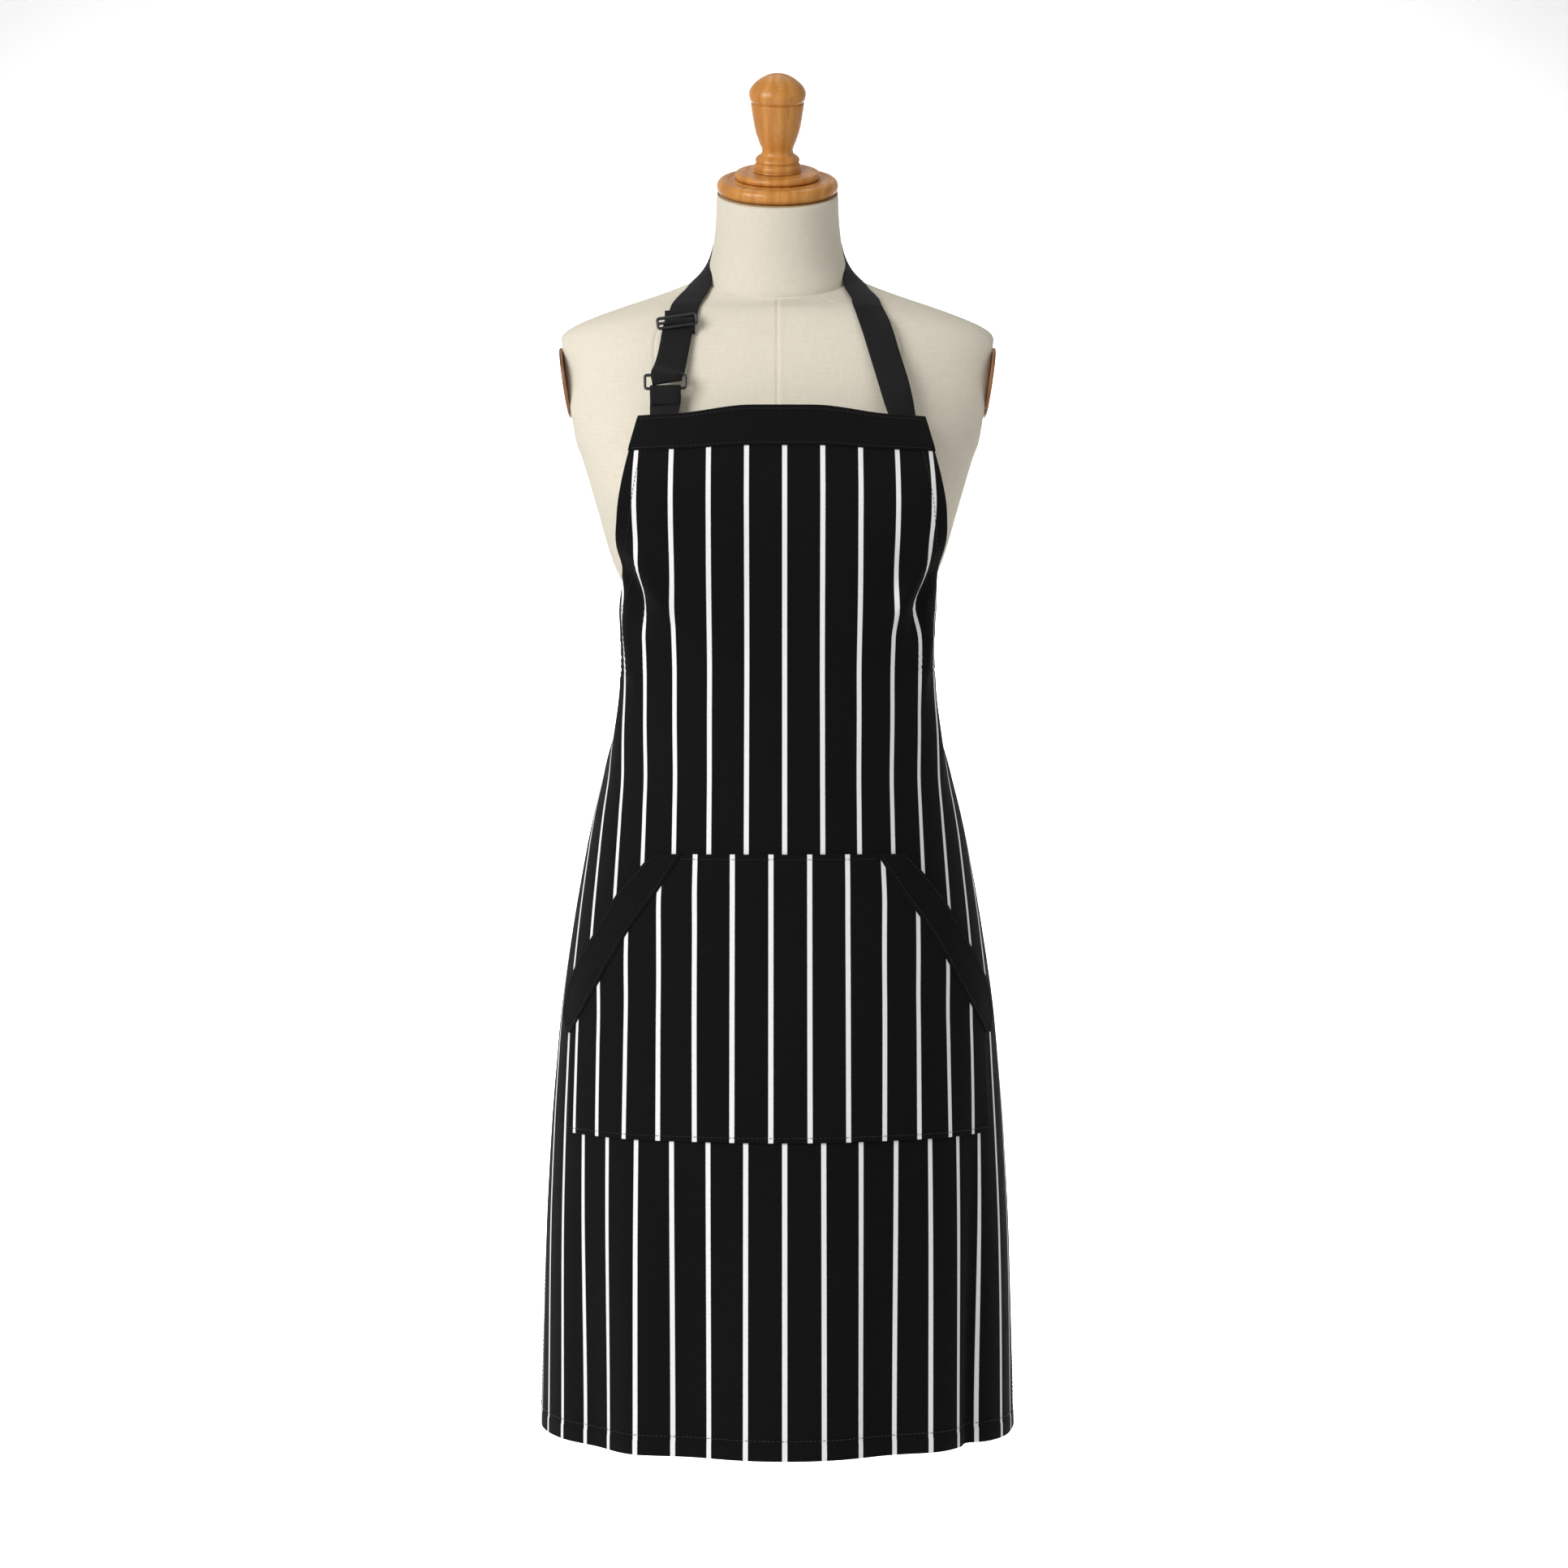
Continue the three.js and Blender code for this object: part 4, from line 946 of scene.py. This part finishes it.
def buckle(name, node, spec, body):
    """A moulded frame with its bars: an outer loop swept round a rounded oblong, and bars across it."""
    turn, place = buckle_frame(spec)
    w, h, bar = spec["wide"] / 2, spec["tall"] / 2, spec["bar"] / 2
    corner = 3.2
    loop = []
    for right, up, start in ((1, 1, 0), (-1, 1, 90), (-1, -1, 180), (1, -1, 270)):
        cx, cy = right * (w - corner), up * (h - corner)
        for k in range(9):
            a = math.radians(start + k * 90 / 8)
            c, s = math.cos(a), math.sin(a)
            loop.append((cx + (corner - bar) * c, cy + (corner - bar) * s, c, s))
    verts = []
    for x, y, nx, ny in loop:
        for k in range(12):
            a = 2 * math.pi * k / 12
            c, s = math.cos(a), math.sin(a)
            flat = (abs(c) ** 0.6 * (1 if c >= 0 else -1) * bar, abs(s) ** 0.6 * (1 if s >= 0 else -1) * 1.45)
            verts.append(Vector((x + nx * flat[0], y + ny * flat[0], flat[1])))
    faces = []
    n = len(loop)
    for i in range(n):
        for k in range(12):
            j, m = (i + 1) % n, (k + 1) % 12
            faces.append((12 * i + k, 12 * j + k, 12 * j + m, 12 * i + m))
    parts = [([tuple(v) for v in verts], faces)]
    for i in range(1, spec["bars"]):
        y = -h + i * 2 * h / spec["bars"]
        parts.append(round_bar((-w + bar, y, 0), (w - bar, y, 0), 1.25))
    verts, faces = merged(parts)
    verts = [tuple(place + turn @ Vector(v)) for v in verts]
    piece = make(name, verts, faces, BUCKLE, body=body)
    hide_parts(node)


def strap_pieces():
    h = RING["tall"] / 2 - RING["bar"] / 2
    wrap = 2.15
    tab = [behind_cloth(-97, 530), behind_cloth(-97, 545), behind_cloth(-96.5, 557)]
    tab += [at_buckle(RING, 0, u, o) for u, o in ((-14, -3.4), (-9, -2.6), (-h - 0.4, -2.3))]
    round_low = [(-h + wrap * math.sin(a), -wrap * math.cos(a)) for a in np.radians([30, 60, 90, 120, 150])]
    tab += [turned_out(RING, u, o, -h) for u, o in round_low]
    tab += [at_buckle(RING, 0, u, o) for u, o in ((-h - 0.4, 2.3), (-9.5, 2.2), (-15, 0.6), (-19, -0.6))]
    piece = web("tab_webbing", tab, 110, wide=25.4)
    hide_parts("strap_tab")

    turn_at = {**RING, "lean": 9, "place": RING["place"] + Vector((1.6, 0, 0))}
    low_turn = [(150, 1.2), (120, 2.6), (90, 3.1), (60, 2.6), (30, 1.2)]
    top = [turned_out(turn_at, h - wrap * drop, wrap * math.cos(math.radians(a)), h) for a, drop in low_turn]
    back = [(-83.0, -56.0, 630), (-86.4, -64.6, 610), (-89.2, -74.6, 594)]
    front = [(-89.6, -75.5, 596), (-86.2, -67.6, 610), (-82.6, -58.2, 632)]
    chest = (0.0, -0.93, 0.36)
    stations = [p + chest for p in back] + [at_buckle(turn_at, 0, h + 0.4, -2.3)] + top
    stations += [at_buckle(turn_at, 0, h + 0.4, 2.3)] + [p + chest for p in front]
    over = [(651, 238), (660, 231), (668, 219), (676, 203), (684, 178), (692, 150), (697, 120), (698.5, 90),
            (697, 60), (692, 30), (684, 2), (676, -23), (668, -39), (660, -52), (651, -58.5)]
    lift = np.interp([z for z, _ in over], [650, 672, 688, 700], [2.0, 2.6, 3.6, 3.0])
    stations += on_torso(over, lift)
    stations += [p + chest for p in ((83, -57.5, 630), (90, -68, 605), (97, -78, 580))]
    stations += [behind_cloth(108.5, 557), behind_cloth(109.5, 545), behind_cloth(110, 530)]
    piece = web("neck_webbing", stations, 420)
    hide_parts("neck_strap")

    rise = [(10.5, -4.2), (8, -3.3), (5, -2.4), (2.4, 0.4)]
    weave = rise + [(0, 2.1)] + [(-u, o) for u, o in reversed(rise)]
    weave = [at_buckle(SLIDER, 2.2 + 0.11 * u, u, o) for u, o in weave]
    web("slider_webbing", weave, 60, thick=1.2, body="strap_slider")


def turned_out(spec, up, out, bar_at):
    """A station on the webbing's turn round a bar, facing away from the bar."""
    turn, place = buckle_frame(spec)
    p = turn @ Vector((0, up, out)) + place
    n = turn @ Vector((0, up - bar_at, out)).normalized()
    return tuple(p) + tuple(n)


# ---- waist ties and bow ----
KNOT = Vector((0, 84, 343))


def back_station(x, z, off):
    wide = float(rows_at(TORSO, [z])[0, 1])
    angle = 90 - math.degrees(math.asin(x / wide))
    return on_torso([(z, angle)], off)[0]


def waist_ties():
    for side, label in ((1, "right"), (-1, "left")):
        edge_u = CLOTH_MIDDLE + side * 305
        start = [behind_cloth(edge_u - side * d, 341, -1.6) for d in (18, 8, 1)]
        spots = ((38, 78.5, 0.3), (26, 80.5, 0.2), (12, 82, 0.1))
        flow = [(side * x, y, 342, side * lean, 1.0, 0.0) for x, y, lean in spots]
        piece = web("tie_webbing_" + label, start + flow, 40)
        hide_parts("waist_tie_" + label)


def knot_and_bow():
    wrap = [(-6.5, 78, 352), (-5, 87.5, 354), (-2, 91.6, 346),
            (1.5, 91.8, 338), (4.5, 88.5, 332), (6, 79, 333)]
    middle = np.array(KNOT) - (0, 4, 0)
    stations = [p + tuple((np.array(p) - middle) / np.linalg.norm(np.array(p) - middle)) for p in wrap]
    knot = web("knot_webbing", stations, 60, wide=19, thick=3.2)
    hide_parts("tie_knot")
    for side, label in ((1, "right"), (-1, "left")):
        eye = [(4, 84), (18, 81.5), (38, 83), (56, 88), (66, 94.5), (68.5, 99.5),
               (64, 103), (50, 102.5), (32, 98), (16, 92.5), (4, 88.5)]
        loop = []
        centre = np.array([38.0, 93.0])
        for x, y in eye:
            away = np.array([x, y]) - centre
            away = away / np.linalg.norm(away) * (0.35, 1.0)
            drop = 347 - 0.22 * x
            loop.append((side * x, y, drop, side * away[0], away[1], 0.0))
        piece = web("bow_webbing_" + label, loop, 90, wide=22, thick=1.4)
        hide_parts("bow_loop_" + label)
        tail = [(side * 6, 88.0, 334, 0.0, 1.0, 0.2), (side * 12, 88.5, 322, side * 0.1, 1.0, 0.2)]
        spots = [(15, 306, 12), (19, 284, 7.5), (23, 258, 4), (27, 228, 2.6),
                 (30, 198, 2.4), (33, 162, 2.4), (36, 121, 2.4)]
        tail += [back_station(side * x, z, off) for x, z, off in spots]
        piece = web("tail_webbing_" + label, tail, 110)
        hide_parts("bow_tail_" + label)


# ---- studio ----
def studio():
    scene = bpy.context.scene
    camera = bpy.data.objects.new("Camera", bpy.data.cameras.new("Camera"))
    camera.location = (VIEW["across"], -VIEW["away"], VIEW["height"])
    camera.rotation_euler = (math.pi / 2, 0, 0)
    camera.data.sensor_width = SENSOR
    camera.data.lens = SENSOR * VIEW["away"] / VIEW["wide"]
    scene.collection.objects.link(camera)
    scene.camera = camera

    profile = [(-7.0, 0.0), (WALL_AT - SWEEP, 0.0)]
    profile += [(WALL_AT - SWEEP + SWEEP * math.sin(a), SWEEP - SWEEP * math.cos(a))
                for a in np.linspace(0.05, math.pi / 2, 24)]
    profile += [(WALL_AT, 6.0)]
    verts = [(x, y, FLOOR_AT + z) for y, z in profile for x in (-7.0, 7.0)]
    mesh = bpy.data.meshes.new("Studio paper")
    mesh.from_pydata(verts, [], [(2 * k, 2 * k + 1, 2 * k + 3, 2 * k + 2) for k in range(len(profile) - 1)])
    mesh.polygons.foreach_set("use_smooth", [True] * len(mesh.polygons))
    mesh.materials.append(studio_finish())
    paper = bpy.data.objects.new("Studio_paper", mesh)
    scene.collection.objects.link(paper)

    world = bpy.data.worlds.new("Studio")
    world.use_nodes = True
    world.node_tree.nodes["Background"].inputs["Color"].default_value = (1, 1, 1, 1)
    world.node_tree.nodes["Background"].inputs["Strength"].default_value = 0.36
    scene.world = world
    scene.view_settings.view_transform = "Standard"
    for name, place, aim, size, power, spread in (
        ("Window", (-2.4, -2.6, 1.6), (0, 0, 0.3), 2.2, 104, 180),
        ("Fill", (2.6, -2.4, 0.8), (0, 0, 0.2), 2.4, 12, 180),
        ("Top", (0.0, 0.4, 3.0), (0, 0, 0.4), 1.6, 8, 180),
        ("Wall left", (-2.9, 2.4, 0.5), (0.4, 4.2, -0.3), 1.4, 90, 90),
        ("Wall right", (2.9, 2.4, 0.5), (-0.4, 4.2, -0.3), 1.4, 90, 90),
    ):
        light = bpy.data.lights.new(name, "AREA")
        light.size = size
        light.energy = power
        light.spread = math.radians(spread)
        lamp = bpy.data.objects.new(name, light)
        lamp.location = place
        lamp.rotation_euler = (Vector(aim) - Vector(place)).to_track_quat("-Z", "Y").to_euler()
        scene.collection.objects.link(lamp)


# ---- the whole ----
studio()
cover = linen_cover()
base_tape()
neck_cap()
finial()
arm_plates()
metal_fittings()
body = apron_body()
band = bib_band()
pouch = pocket()
bands = pocket_bands()
stitching = apron_stitching()
buckle("strap_ring_frame", "strap_ring", RING, "form")
buckle("strap_slider_frame", "strap_slider", SLIDER, "strap_slider")
strap_pieces()
waist_ties()
knot_and_bow()
